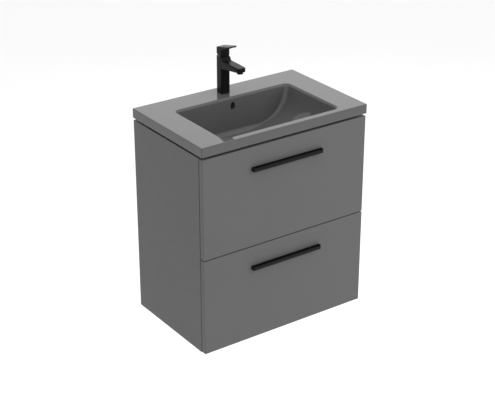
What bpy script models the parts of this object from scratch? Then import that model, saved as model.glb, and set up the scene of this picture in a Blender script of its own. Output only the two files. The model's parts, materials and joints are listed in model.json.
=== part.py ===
"""Wall-hung bathroom vanity: a ceramic basin with a single-lever tap on a cabinet with two drawers.

Metres, +Z up. X runs to the right, the wall is the plane Y = 0 and the drawers open towards -Y.
The origin is the middle of the hanging rail's back face, where the cabinet bears on the wall.
Each sub-part is one closed solid with its own name and material. Pieces that move together hang
on an empty that stands on their joint's axis.
"""

import math

import bmesh
import bpy
from mathutils import Matrix, Vector

# Basin
BASIN_WIDTH = 0.610
BASIN_DEPTH = 0.385
BASIN_APRON = 0.031
BASIN_TOP = 0.150
CERAMIC = 0.009
BOWL_HALF_WIDTH = 0.2135
BOWL_BACK = -0.095
BOWL_FRONT = -0.362
BOWL_DEPTH = 0.117
BOWL_TOP_CORNER = 0.018
BOWL_LOW_CORNER = 0.014
BOWL_ROUNDNESS = 3.5
BOWL_FILLET = 0.016
BACK_WALL_SLOPE = math.tan(math.radians(7.0))
FRONT_WALL_SLOPE = math.tan(math.radians(19.0))
SIDE_WALL_SLOPE = math.tan(math.radians(16.0))
OVERFLOW_DEPTH = 0.030
OVERFLOW_SIZE = (0.017, 0.026)
DRAIN_Y = -0.215
DRAIN_RADIUS = 0.0225

# Tap
TAP_Y = -0.046
TAP_SIDE = 0.033
TAP_CORNER = 0.0075
COLUMN_TOP = 0.122
SPOUT_TOP = 0.110
SPOUT_TIP_Y = -0.151
AERATOR_Y = -0.138
LEVER_PIVOT = 0.131
LEVER_GAP = 0.0015
LEVER_RELIEF = math.tan(math.radians(27.0))

# Cabinet
SHADOW_GAP = 0.008
CABINET_WIDTH = 0.604
CABINET_DEPTH = 0.383
CABINET_HEIGHT = 0.650
BOARD = 0.016
FRONT_BOARD = 0.018
FRONT_GAP = 0.0025
FRONT_SPLIT = 0.327
SPLIT_GAP = 0.003
HANGING_RAIL_HEIGHT = 0.100

# Drawers
RUNNER_SPACE = 0.009
DRAWER_SIDE = 0.012
DRAWER_BACK_Y = -0.060
UPPER_DRAWER_FLOOR = -0.200
UPPER_DRAWER_HEIGHT = 0.110
LOWER_DRAWER_FLOOR = -0.505
LOWER_DRAWER_HEIGHT = 0.180
CUTOUT_HALF_WIDTH = 0.095
CUTOUT_FRONT = -0.285
HANDLE_LENGTH = 0.260
HANDLE_DEPTH = 0.014
HANDLE_HEIGHT = 0.0125
HANDLE_WALL = 0.002
HANDLE_DROP = 0.064
SCREW_SPACING = 0.192

# Clearance between pieces that touch
GAP = 0.0003

# Worked out from the sizes above
CABINET_TOP = BASIN_TOP - BASIN_APRON - SHADOW_GAP
CABINET_BOTTOM = CABINET_TOP - CABINET_HEIGHT
SIDE_OUT = CABINET_WIDTH / 2
SIDE_IN = SIDE_OUT - BOARD
FRONT_INNER_Y = -CABINET_DEPTH + FRONT_BOARD
CARCASS_FRONT_Y = FRONT_INNER_Y + FRONT_GAP
SPLIT_Z = CABINET_TOP - FRONT_SPLIT
DECK_UNDER = BASIN_TOP - CERAMIC
BOWL_FLOOR = BASIN_TOP - BOWL_DEPTH
DRAIN = Vector((0, DRAIN_Y, 0))
TAP = Vector((0, TAP_Y, BASIN_TOP))

COLLECTION = bpy.data.collections
PARTS_NAME = "bathroom_vanity_cabinet"
CUTTERS_NAME = "cutters"


# ---------------------------------------------------------------------------------------------
# Scene and materials


def clear_scene():
    """Remove whatever the scene holds and make the two collections."""
    for obj in list(bpy.data.objects):
        bpy.data.objects.remove(obj, do_unlink=True)
    for name in (PARTS_NAME, CUTTERS_NAME):
        collection = COLLECTION.new(name)
        bpy.context.scene.collection.children.link(collection)
    COLLECTION[CUTTERS_NAME].hide_render = True


def paint(obj, colour, roughness, metallic=0.0):
    """Give the object a Principled BSDF material of its own."""
    material = bpy.data.materials.new(obj.name)
    material.use_nodes = True
    shader = material.node_tree.nodes["Principled BSDF"]
    shader.inputs["Base Color"].default_value = (*colour, 1.0)
    shader.inputs["Roughness"].default_value = roughness
    shader.inputs["Metallic"].default_value = metallic
    obj.data.materials.append(material)
    return obj


GLAZE = ((0.105, 0.105, 0.105), 0.12)
LACQUER = ((0.115, 0.119, 0.117), 0.55)
CORE_BOARD = ((0.16, 0.16, 0.16), 0.6)
MATT_BLACK = ((0.012, 0.013, 0.013), 0.42, 0.6)
DRAWER_STEEL = ((0.09, 0.095, 0.10), 0.45, 0.7)
ZINC = ((0.55, 0.56, 0.58), 0.35, 1.0)
CHROME = ((0.72, 0.73, 0.75), 0.10, 1.0)
BRASS = ((0.62, 0.46, 0.20), 0.3, 1.0)
RUBBER = ((0.02, 0.02, 0.02), 0.85)
WHITE_PLASTIC = ((0.72, 0.72, 0.70), 0.45)
DARK_PLASTIC = ((0.05, 0.05, 0.05), 0.5)


def link(obj, collection_name=PARTS_NAME):
    COLLECTION[collection_name].objects.link(obj)
    return obj


def smooth(mesh, angle=35.0):
    mesh.shade_smooth()
    mesh.set_sharp_from_angle(angle=math.radians(angle))


def as_cutter(obj):
    """Keep a helper out of the render and show it as a wire."""
    COLLECTION[PARTS_NAME].objects.unlink(obj)
    link(obj, CUTTERS_NAME)
    obj.hide_render = True
    obj.display_type = "WIRE"
    return obj


def boolean(obj, other, operation="DIFFERENCE"):
    """Cut, join or intersect with another object, which becomes a helper."""
    modifier = obj.modifiers.new(operation.lower(), "BOOLEAN")
    modifier.operation = operation
    modifier.solver = "EXACT"
    modifier.object = as_cutter(other)
    return obj


def bevel(obj, width, segments=1, angle=40.0):
    modifier = obj.modifiers.new("edges", "BEVEL")
    modifier.width = width
    modifier.segments = segments
    modifier.limit_method = "ANGLE"
    modifier.angle_limit = math.radians(angle)
    modifier.miter_outer = "MITER_ARC" if segments > 1 else "MITER_SHARP"
    return obj


# ---------------------------------------------------------------------------------------------
# Shapes


def from_bmesh(name, shape, round_shading=False):
    bmesh.ops.recalc_face_normals(shape, faces=shape.faces)
    mesh = bpy.data.meshes.new(name)
    shape.to_mesh(mesh)
    shape.free()
    if round_shading:
        smooth(mesh)
    return link(bpy.data.objects.new(name, mesh))


def box(name, low, high):
    """A box between two corners; its origin is at its centre."""
    low, high = Vector(low), Vector(high)
    shape = bmesh.new()
    bmesh.ops.create_cube(shape, size=1.0)
    bmesh.ops.scale(shape, vec=high - low, verts=shape.verts)
    obj = from_bmesh(name, shape)
    obj.location = (low + high) / 2
    return obj


def cylinder(name, start, end, radius, sides=24):
    """A round bar from one point to another."""
    start, end = Vector(start), Vector(end)
    shape = bmesh.new()
    length = (end - start).length
    bmesh.ops.create_cone(
        shape, cap_ends=True, segments=sides, radius1=radius, radius2=radius, depth=length
    )
    obj = from_bmesh(name, shape, round_shading=True)
    obj.location = (start + end) / 2
    obj.rotation_mode = "QUATERNION"
    obj.rotation_quaternion = (end - start).to_track_quat("Z", "Y")
    return obj


def turned(name, profile, centre, sides=24):
    """A turned ring from a closed profile of (radius, height) points around the vertical axis."""
    shape = bmesh.new()
    corners = [shape.verts.new((radius, 0, height)) for radius, height in profile]
    for first, second in zip(corners, corners[1:] + corners[:1]):
        shape.edges.new((first, second))
    mesh = bpy.data.meshes.new(name)
    shape.to_mesh(mesh)
    shape.free()
    obj = link(bpy.data.objects.new(name, mesh))
    obj.location = centre
    screw = obj.modifiers.new("turn", "SCREW")
    screw.axis = "Z"
    screw.angle = math.tau
    screw.steps = sides
    screw.render_steps = sides
    screw.use_merge_vertices = True
    screw.merge_threshold = 0.00001
    screw.use_normal_calculate = False
    screw.use_normal_flip = False
    return obj


def ring(name, centre, inner, outer, low, high, sides=24):
    """A plain turned ring: its outer side runs down, and its bore runs back up."""
    profile = [(outer, high), (outer, low), (inner, low), (inner, high)]
    return turned(name, profile, centre, sides)


def extruded(name, outline, thickness, axes):
    """A flat outline with a thickness. axes gives the outline's two directions and its normal."""
    curve = bpy.data.curves.new(name, "CURVE")
    curve.dimensions = "2D"
    curve.fill_mode = "BOTH"
    curve.extrude = thickness / 2
    spline = curve.splines.new("POLY")
    spline.points.add(len(outline) - 1)
    for point, (across, along) in zip(spline.points, outline):
        point.co = (across, along, 0, 1)
    spline.use_cyclic_u = True
    guide = link(bpy.data.objects.new(name + "_outline", curve))
    bpy.context.view_layer.update()
    evaluated = guide.evaluated_get(bpy.context.evaluated_depsgraph_get())
    mesh = bpy.data.meshes.new_from_object(evaluated)
    bpy.data.objects.remove(guide)
    shape = bmesh.new()
    shape.from_mesh(mesh)
    bpy.data.meshes.remove(mesh)
    bmesh.ops.remove_doubles(shape, verts=shape.verts, dist=0.00001)
    shape.transform(Matrix([Vector(axis) for axis in axes]).transposed().to_4x4())
    return from_bmesh(name, shape)


SIDE_VIEW = ((0, 1, 0), (0, 0, 1), (1, 0, 0))
PLAN_VIEW = ((1, 0, 0), (0, 1, 0), (0, 0, 1))


def rounded_rectangle(half_width, back, front, radius, steps=4):
    """Points of a rounded rectangle seen from above, anticlockwise from its back right corner."""
    corners = (
        (half_width - radius, back - radius, 0),
        (-half_width + radius, back - radius, 90),
        (-half_width + radius, front + radius, 180),
        (half_width - radius, front + radius, 270),
    )
    points = []
    for x, y, first in corners:
        for step in range(steps + 1):
            angle = math.radians(first + 90 * step / steps)
            points.append((x + radius * math.cos(angle), y + radius * math.sin(angle)))
    return points


def arc(centre_y, centre_z, radius, first, last, steps):
    """Points of an arc in side view, its angles in degrees from +Y towards +Z."""
    angles = (math.radians(first + (last - first) * step / steps) for step in range(steps + 1))
    return [(centre_y + radius * math.cos(a), centre_z + radius * math.sin(a)) for a in angles]


def loft(name, sections):
    """A skin over rings of equally many points, one above the other, closed at both ends."""
    shape = bmesh.new()
    rings = [[shape.verts.new(point) for point in section] for section in sections]
    for lower, upper in zip(rings, rings[1:]):
        count = len(lower)
        for i in range(count):
            j = (i + 1) % count
            shape.faces.new((lower[i], lower[j], upper[j], upper[i]))
    shape.faces.new(reversed(rings[0]))
    shape.faces.new(rings[-1])
    return from_bmesh(name, shape, round_shading=True)


def ride(objects, empty):
    """Parent the objects to an empty without moving them."""
    for obj in objects:
        obj.parent = empty
        obj.matrix_parent_inverse = Matrix.Translation(empty.location).inverted()


def joint_empty(name, location, parent=None):
    empty = link(bpy.data.objects.new(name, None))
    empty.empty_display_size = 0.03
    empty.location = location
    if parent:
        ride([empty], parent)
    return empty


# ---------------------------------------------------------------------------------------------
# Basin


def bowl_sections(depths, wall=0.0):
    """Rings of the bowl at the given depths, grown outwards by the wall's thickness.

    The side walls follow a superellipse that also leans inwards, the back and front walls are
    nearly flat, and a round fillet leads each of them into the floor.
    """
    sections = []
    for depth in depths:
        share = max(depth, 0.0) / (BOWL_DEPTH + 0.001)
        half_width = BOWL_HALF_WIDTH * (1 - share**BOWL_ROUNDNESS) ** (1 / BOWL_ROUNDNESS)
        half_width -= SIDE_WALL_SLOPE * depth
        low = max(0.0, depth - BOWL_DEPTH + BOWL_FILLET)
        fillet = BOWL_FILLET - math.sqrt(BOWL_FILLET**2 - low**2)
        back = BOWL_BACK - BACK_WALL_SLOPE * depth - fillet + wall
        front = BOWL_FRONT + FRONT_WALL_SLOPE * depth + fillet - wall
        corner = BOWL_TOP_CORNER + (BOWL_LOW_CORNER - BOWL_TOP_CORNER) * share + wall
        outline = rounded_rectangle(half_width + wall, back, front, corner)
        height = BASIN_TOP - depth - (wall if depth > BOWL_DEPTH / 2 else 0.0)
        sections.append([(x, y, height) for x, y in outline])
    return sections


def make_basin():
    half = BASIN_WIDTH / 2
    low_edge = BASIN_TOP - BASIN_APRON
    basin = box("basin", (-half, -BASIN_DEPTH, low_edge), (half, 0, BASIN_TOP))
    bevel(basin, 0.0025, segments=2)
    inner = half - CERAMIC
    boolean(
        basin,
        box(
            "underside_cutter",
            (-inner, -BASIN_DEPTH + CERAMIC, low_edge - 0.01),
            (inner, -CERAMIC, DECK_UNDER),
        ),
    )
    depths = [0.040, 0.060, 0.080, 0.095, 0.106, 0.113, BOWL_DEPTH]
    shell = bowl_sections([0.004, 0.020] + depths, wall=CERAMIC)
    boolean(basin, loft("bowl_shell", shell), "UNION")
    # A boss carries the waste, and a housing behind the bowl carries the overflow's duct.
    boss_low = BOWL_FLOOR - 0.025
    duct_back = BOWL_BACK + CERAMIC + 0.014
    boss_top = BOWL_FLOOR - 0.004
    for solid in (
        cylinder("drain_boss", DRAIN + Vector((0, 0, boss_low)),
                 DRAIN + Vector((0, 0, boss_top)), 0.034, 32),
        box("duct_housing", (-0.020, BOWL_BACK - 0.030, boss_low),
            (0.020, duct_back, DECK_UNDER + 0.003)),
        box("duct_floor", (-0.0205, DRAIN_Y, boss_low + 0.0005),
            (0.0205, BOWL_BACK - 0.029, boss_top)),
    ):
        boolean(basin, solid, "UNION")
    hollow = bowl_sections([-0.010, 0.0, 0.012, 0.026] + depths)
    boolean(basin, loft("bowl_cutter", hollow))
    duct_low = boss_low + 0.006
    duct_wall = BOWL_BACK + CERAMIC - 0.001
    boolean(basin, box("duct_cutter", (-0.010, duct_wall, duct_low),
                       (0.010, duct_wall + 0.008, BASIN_TOP - 0.016)))
    boolean(basin, box("duct_floor_cutter", (-0.0095, DRAIN_Y, duct_low + 0.0003),
                       (0.0095, duct_wall + 0.0075, duct_low + 0.0073)))
    overflow_width, overflow_height = OVERFLOW_SIZE
    overflow = extruded(
        "overflow_cutter",
        [
            (x, y + BASIN_TOP - OVERFLOW_DEPTH)
            for x, y in rounded_rectangle(
                overflow_width / 2, overflow_height / 2, -overflow_height / 2,
                overflow_width / 2 - 0.0002, steps=5,
            )
        ],
        0.030,
        ((1, 0, 0), (0, 0, 1), (0, -1, 0)),
    )
    overflow.location.y = BOWL_BACK - 0.008
    boolean(basin, overflow)
    boolean(basin, cylinder("drain_cutter", DRAIN + Vector((0, 0, boss_low - 0.01)),
                            DRAIN + Vector((0, 0, BOWL_FLOOR + 0.01)), DRAIN_RADIUS, 32))
    boolean(basin, cylinder("flange_seat_cutter", DRAIN + Vector((0, 0, BOWL_FLOOR - 0.0043)),
                            DRAIN + Vector((0, 0, BOWL_FLOOR + 0.02)), 0.0322, 32))
    boolean(basin, cylinder("tap_hole_cutter", TAP - Vector((0, 0, 0.04)),
                            TAP + Vector((0, 0, 0.01)), 0.0175))
    return [paint(basin, *GLAZE)]


# ---------------------------------------------------------------------------------------------
# Waste and trap. Heights here count from the bowl's floor.


def at_drain(height=0.0):
    return DRAIN + Vector((0, 0, BOWL_FLOOR + height))


def make_waste():
    tube_outer, tube_inner, tube_end = 0.0209, 0.0185, -0.073
    body = turned(
        "waste_body",
        [
            (0.0315, -0.0005), (0.0315, -0.0020), (tube_outer, -0.0020), (tube_outer, tube_end),
            (tube_inner, tube_end), (tube_inner, -0.0035), (0.0225, -0.0012), (0.0300, -0.0005),
        ],
        at_drain(),
        32,
    )
    for name, reach in (("waste_arm_x", (0.0192, 0.0012)), ("waste_arm_y", (0.0012, 0.0192))):
        across, along = reach
        arm = box(name, at_drain(-0.036) - Vector((across, along, 0)),
                  at_drain(-0.026) + Vector((across, along, 0)))
        boolean(body, arm, "UNION")
    boolean(body, cylinder("waste_hub", at_drain(-0.040), at_drain(-0.024), 0.0085), "UNION")
    boolean(body, cylinder("waste_hub_bore", at_drain(-0.045), at_drain(-0.020), 0.0053))
    boolean(body, box("waste_window", at_drain(-0.0190) - Vector((0.007, 0.03, 0)),
                      at_drain(-0.0115) + Vector((0.007, 0.03, 0))))
    cap = [(0.0290, 0.0012), (0.0290, -0.0002), (0.0050, -0.0002), (0.0050, -0.0480),
           (0.0, -0.0480), (0.0, 0.0036), (0.0150, 0.0031), (0.0245, 0.0022)]
    plug = turned("waste_plug", cap, at_drain(), 32)
    upper_seal = ring("waste_upper_seal", at_drain(), 0.0230, 0.0290, -0.0040, -0.0023)
    lower_seal = ring("waste_lower_seal", at_drain(), 0.0212, 0.0310, -0.0283, -0.0253)
    nut = cylinder("waste_nut", at_drain(-0.0406), at_drain(-0.0286), 0.0300, 6)
    boolean(nut, cylinder("waste_nut_bore", at_drain(-0.05), at_drain(-0.02), 0.0212))
    paint(body, *CHROME)
    paint(plug, *GLAZE)
    paint(upper_seal, *RUBBER)
    paint(lower_seal, *RUBBER)
    paint(nut, *BRASS)
    slide = joint_empty("waste_plug_slide", at_drain())
    ride([plug], slide)
    return [body, plug, upper_seal, lower_seal, nut]


def make_trap():
    """A bottle trap: the water goes down the dip tube, up round it and out to the wall."""
    inlet_top, shoulder, skirt_end, dip_end = -0.069, -0.105, -0.141, -0.183
    outer, pipe, pipe_bore = 0.034, 0.0160, 0.0145
    inlet_nut = turned(
        "trap_inlet_nut",
        [(0.0265, -0.058), (0.0265, -0.079), (0.0163, -0.079), (0.0163, -0.0753),
         (0.0212, -0.0753), (0.0212, -0.058)],
        at_drain(),
    )
    body = turned(
        "trap_body",
        [
            (pipe, inlet_top), (pipe, shoulder), (outer - 0.006, shoulder),
            (outer, shoulder - 0.006), (outer, skirt_end), (outer - 0.003, skirt_end),
            (outer - 0.003, shoulder - 0.005), (pipe, shoulder - 0.005), (pipe, dip_end),
            (pipe_bore, dip_end), (pipe_bore, inlet_top),
        ],
        at_drain(),
    )
    outlet_z = -0.124
    stub_start = at_drain(outlet_z) + Vector((0, outer - 0.0025, 0))
    stub_end = at_drain(outlet_z) + Vector((0, 0.055, 0))
    boolean(body, cylinder("trap_stub", stub_start, stub_end, 0.0155), "UNION")
    boolean(body, cylinder("trap_stub_bore", stub_start - Vector((0, 0.006, 0)),
                           stub_end + Vector((0, 0.01, 0)), 0.0130))
    cup = turned(
        "trap_cup",
        [
            (outer, skirt_end - GAP), (outer, -0.188), (outer - 0.006, -0.199), (0.012, -0.201),
            (0.0, -0.201), (0.0, -0.198), (0.012, -0.198), (outer - 0.0075, -0.196),
            (outer - 0.003, -0.187), (outer - 0.003, skirt_end - GAP),
        ],
        at_drain(),
    )
    pipe_start = stub_end + Vector((0, GAP, 0))
    pipe_end = Vector((0, -0.0005, pipe_start.z))
    outlet_pipe = cylinder("trap_outlet_pipe", pipe_start, pipe_end, pipe)
    boolean(outlet_pipe, cylinder("outlet_pipe_bore", pipe_start - Vector((0, 0.01, 0)),
                                  pipe_end + Vector((0, 0.01, 0)), pipe_bore))
    nut_start = stub_end - Vector((0, 0.012, 0))
    nut_end = stub_end + Vector((0, 0.014, 0))
    outlet_nut = cylinder("trap_outlet_nut", nut_start, nut_end, 0.0215, 12)
    boolean(outlet_nut, cylinder("outlet_nut_bore", nut_start - Vector((0, 0.01, 0)),
                                 nut_end + Vector((0, 0.01, 0)), 0.0164))
    pieces = [inlet_nut, body, cup, outlet_nut, outlet_pipe]
    for piece in pieces:
        paint(piece, *WHITE_PLASTIC)
    return pieces


# ---------------------------------------------------------------------------------------------
# Tap. Heights here count from the basin's deck, and Y counts from the wall.


def at_tap(height):
    return TAP + Vector((0, 0, height))


def square_column(name, low, high, side=TAP_SIDE, corner=TAP_CORNER, steps=4):
    half = side / 2
    outline = rounded_rectangle(half, TAP_Y + half, TAP_Y - half, corner, steps)
    return loft(name, [[(x, y, BASIN_TOP + z) for x, y in outline] for z in (low, high)])


def side_profile(name, outline, width):
    """A profile seen from the side, in heights from the deck, extruded across the tap."""
    raised = [(y, BASIN_TOP + z) for y, z in outline]
    return extruded(name, raised, width, SIDE_VIEW)


def make_tap():
    half = TAP_SIDE / 2
    front = TAP_Y - half
    back = TAP_Y + half
    body = square_column("tap_body", 0.0018, COLUMN_TOP)
    fillet = 0.011
    spout_outline = (
        [(TAP_Y, COLUMN_TOP - 0.0005), (front + 0.0005, COLUMN_TOP - 0.0005)]
        + arc(front - fillet, SPOUT_TOP + fillet, fillet, 0, -90, 4)[1:]
        + [(SPOUT_TIP_Y + 0.003, SPOUT_TOP - 0.0010), (SPOUT_TIP_Y, SPOUT_TOP - 0.0040),
           (SPOUT_TIP_Y, 0.0985), (SPOUT_TIP_Y + 0.004, 0.0950), (-0.112, 0.0905),
           (front, 0.0845), (TAP_Y, 0.0845)]
    )
    spout = side_profile("spout", spout_outline, TAP_SIDE - 0.0010)
    tip_plan = rounded_rectangle(half - 0.0005, TAP_Y + 0.010, SPOUT_TIP_Y, 0.009)
    plan = loft(
        "spout_plan", [[(x, y, BASIN_TOP + z) for x, y in tip_plan] for z in (0.05, 0.15)]
    )
    boolean(spout, plan, "INTERSECT")
    boolean(body, spout, "UNION")
    boolean(body, cylinder("cartridge_bore", at_tap(0.0970), at_tap(0.15), 0.0135))
    aerator_seat = Vector((0, AERATOR_Y, BASIN_TOP))
    boolean(body, cylinder("aerator_bore", aerator_seat + Vector((0, 0, 0.07)),
                           aerator_seat + Vector((0, 0, 0.1003)), 0.0112))
    for name, x, radius in (("stud", 0.0, 0.0043), ("hot_inlet", -0.0095, 0.0045),
                            ("cold_inlet", 0.0095, 0.0045)):
        offset = Vector((x, 0, 0))
        boolean(body, cylinder(name + "_bore", at_tap(-0.01) + offset, at_tap(0.012) + offset,
                               radius, 16))
    gasket = square_column("tap_base_gasket", 0.0003, 0.0015, TAP_SIDE - 0.0015)
    boolean(gasket, cylinder("gasket_bore", at_tap(-0.01), at_tap(0.01), 0.0145))

    cartridge = cylinder("tap_cartridge", at_tap(0.0973), at_tap(0.1180), 0.0132)
    collar = ring("tap_cartridge_collar", at_tap(0), 0.0090, 0.0132, 0.1183, 0.1216)
    spindle = cylinder("tap_spindle", at_tap(0.1183), at_tap(LEVER_PIVOT + 0.005), 0.0060)
    pivot = at_tap(LEVER_PIVOT)
    boolean(spindle, cylinder("spindle_pin", pivot - Vector((0.0125, 0, 0)),
                              pivot + Vector((0.0125, 0, 0)), 0.0025, 16), "UNION")

    skirt = COLUMN_TOP + LEVER_GAP
    lever_outline = [
        (back, skirt + half * LEVER_RELIEF), (back, 0.1475), (back - 0.001, 0.1487),
        (-0.099, 0.1655), (-0.1003, 0.1650), (-0.0995, 0.1606), (front, 0.1480),
        (front, skirt), (TAP_Y, skirt),
    ]
    lever = side_profile("tap_lever", lever_outline, TAP_SIDE)
    blade_plan = rounded_rectangle(half, back, -0.1005, TAP_CORNER)
    boolean(
        lever,
        loft("lever_plan", [[(x, y, BASIN_TOP + z) for x, y in blade_plan] for z in (0.1, 0.2)]),
        "INTERSECT",
    )
    boolean(lever, box("lever_socket", pivot - Vector((0.0065, 0.0105, 0.02)),
                       pivot + Vector((0.0065, 0.0105, 0.0085))))
    boolean(lever, cylinder("lever_pin_bore", pivot - Vector((0.0130, 0, 0)),
                            pivot + Vector((0.0130, 0, 0)), 0.0028, 16))

    aerator = turned(
        "tap_aerator",
        [(0.0109, 0.1000), (0.0109, 0.0895), (0.0102, 0.0885), (0.0085, 0.0885),
         (0.0085, 0.0920), (0.0, 0.0920), (0.0, 0.1000)],
        aerator_seat,
    )
    stud = cylinder("tap_stud", at_tap(-0.048), at_tap(0.0115), 0.0040, 16)
    washer_low = -CERAMIC - GAP - 0.003
    washer = ring("tap_fixing_washer", at_tap(0), 0.0046, 0.0225, washer_low, -CERAMIC - GAP)
    boolean(washer, box("washer_mouth", at_tap(-0.03) - Vector((0.0046, 0, 0)),
                        at_tap(0) + Vector((0.0046, 0.03, 0))))
    nut = cylinder("tap_fixing_nut", at_tap(washer_low - GAP - 0.010),
                   at_tap(washer_low - GAP), 0.0075, 6)
    boolean(nut, cylinder("fixing_nut_bore", at_tap(-0.05), at_tap(0), 0.0043, 16))

    for piece in (body, lever, collar):
        paint(piece, *MATT_BLACK)
    for piece in (aerator, cartridge):
        paint(piece, *DARK_PLASTIC)
    for piece in (spindle, nut):
        paint(piece, *BRASS)
    paint(gasket, *RUBBER)
    paint(stud, *ZINC)
    paint(washer, *ZINC)
    temperature = joint_empty("tap_temperature_turn", pivot)
    flow = joint_empty("tap_flow_tilt", pivot, temperature)
    ride([spindle], temperature)
    ride([lever], flow)
    return [body, gasket, cartridge, collar, spindle, lever, aerator, stud, washer, nut]


# ---------------------------------------------------------------------------------------------
# Carcass


def both_sides(name, low, high):
    """The same box on the left and the right; the corners are given for the right side."""
    left_low = (-high[0], low[1], low[2])
    left_high = (-low[0], high[1], high[2])
    return [box("left_" + name, left_low, left_high), box("right_" + name, low, high)]


def make_carcass():
    inside = SIDE_IN - GAP
    panels = both_sides("side_panel", (SIDE_IN, CARCASS_FRONT_Y, CABINET_BOTTOM),
                        (SIDE_OUT, 0, CABINET_TOP))
    floor_top = CABINET_BOTTOM + BOARD
    rail_half = HANGING_RAIL_HEIGHT / 2
    boards = [
        box("bottom_panel", (-inside, CARCASS_FRONT_Y, CABINET_BOTTOM), (inside, 0, floor_top)),
        box("hanging_rail", (-inside, -BOARD, -rail_half), (inside, 0, rail_half)),
        box("lower_rear_rail", (-inside, -BOARD, floor_top + GAP),
            (inside, 0, floor_top + 0.080)),
        box("middle_crossbar", (-inside, CARCASS_FRONT_Y, SPLIT_Z - BOARD / 2),
            (inside, CARCASS_FRONT_Y + 0.045, SPLIT_Z + BOARD / 2)),
    ]
    for board in panels + boards:
        bevel(board, 0.0008)
    for panel in panels:
        paint(panel, *LACQUER)
    for board in boards:
        paint(board, *CORE_BOARD)
    supports = both_sides("basin_support", (inside - 0.012, -0.330, CABINET_TOP - 0.030),
                          (inside, -0.062, DECK_UNDER - GAP))
    hangers = both_sides("hanger_bracket", (inside - 0.015, -0.058, 0.056),
                         (inside, -0.010, 0.104))
    for side, hanger in zip((-1, 1), hangers):
        hook_in, hook_out = side * (inside - 0.032), side * (inside - 0.002)
        low_x, high_x = min(hook_in, hook_out), max(hook_in, hook_out)
        hook = box(hanger.name + "_hook", (low_x, -0.013, 0.062), (high_x, -0.001, 0.090))
        boolean(hanger, hook, "UNION")
    for piece in supports:
        paint(piece, *MATT_BLACK)
    for piece in hangers:
        paint(piece, *ZINC)
    return panels + boards + supports + hangers


# ---------------------------------------------------------------------------------------------
# Drawers


def make_front(level, low, high, handle_top):
    """The lacquered front, its channel pull and the two screws that hold the pull."""
    screw_z = handle_top - HANDLE_HEIGHT / 2
    front = box(level + "_drawer_front", (-SIDE_OUT, -CABINET_DEPTH, low),
                (SIDE_OUT, FRONT_INNER_Y, high))
    bevel(front, 0.0010, segments=2)
    half = HANDLE_LENGTH / 2
    back = -CABINET_DEPTH - GAP
    outline = rounded_rectangle(half, back + 0.008, back - HANDLE_DEPTH, 0.006, 5)
    handle_low = handle_top - HANDLE_HEIGHT
    handle = loft(level + "_handle", [[(x, y, z) for x, y in outline]
                                      for z in (handle_low, handle_top)])
    boolean(handle, box(level + "_handle_back_cutter", (-half - 0.01, back, handle_low - 0.01),
                        (half + 0.01, back + 0.03, handle_top + 0.01)))
    pocket = rounded_rectangle(half - HANDLE_WALL, back - HANDLE_WALL,
                               back - HANDLE_DEPTH + HANDLE_WALL, 0.004, 4)
    boolean(handle, loft(level + "_handle_pocket",
                         [[(x, y, z) for x, y in pocket]
                          for z in (handle_low + HANDLE_WALL, handle_top + 0.01)]))
    screws = []
    for side, x in (("left", -SCREW_SPACING / 2), ("right", SCREW_SPACING / 2)):
        tip = Vector((x, back - 0.0015, screw_z))
        seat = Vector((x, FRONT_INNER_Y + GAP, screw_z))
        screw = cylinder(f"{level}_handle_{side}_screw", tip, seat + Vector((0, 0.001, 0)),
                         0.0020, 12)
        head = cylinder(screw.name + "_head", seat, seat + Vector((0, 0.0024, 0)), 0.0040, 12)
        boolean(screw, head, "UNION")
        hole_end = tip - Vector((0, 0.004, 0))
        for piece in (front, handle):
            boolean(piece, cylinder(f"{piece.name}_{side}_hole", hole_end,
                                    seat + Vector((0, 0.01, 0)), 0.0023, 12))
        screws.append(paint(screw, *ZINC))
    return [paint(front, *LACQUER), paint(handle, *MATT_BLACK)] + screws


def make_sides(level, floor, height):
    """Two steel drawer sides, each with the rib that runs in its runner."""
    inner = SIDE_IN - RUNNER_SPACE
    front_y = FRONT_INNER_Y + GAP
    sides = both_sides(f"{level}_drawer_side", (inner - DRAWER_SIDE, front_y, floor),
                       (inner, DRAWER_BACK_Y, floor + height))
    for side in sides:
        bevel(side, 0.0015)
        paint(side, *DRAWER_STEEL)
    return sides


def make_runners(level, floor):
    """A rail on each cabinet side and a middle member, which moves half as far as the drawer."""
    low, high = floor + 0.018, floor + 0.055
    outer = SIDE_IN - GAP
    rails = both_sides(f"{level}_runner_rail", (outer - 0.0038, CARCASS_FRONT_Y + 0.003, low),
                       (outer, DRAWER_BACK_Y + 0.004, high))
    middles = both_sides(f"{level}_runner_middle",
                         (SIDE_IN - RUNNER_SPACE + GAP, CARCASS_FRONT_Y + 0.004, low + 0.005),
                         (outer - 0.0038 - GAP, DRAWER_BACK_Y, high - 0.005))
    for piece in rails + middles:
        bevel(piece, 0.0008)
        paint(piece, *ZINC)
    return middles


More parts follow.
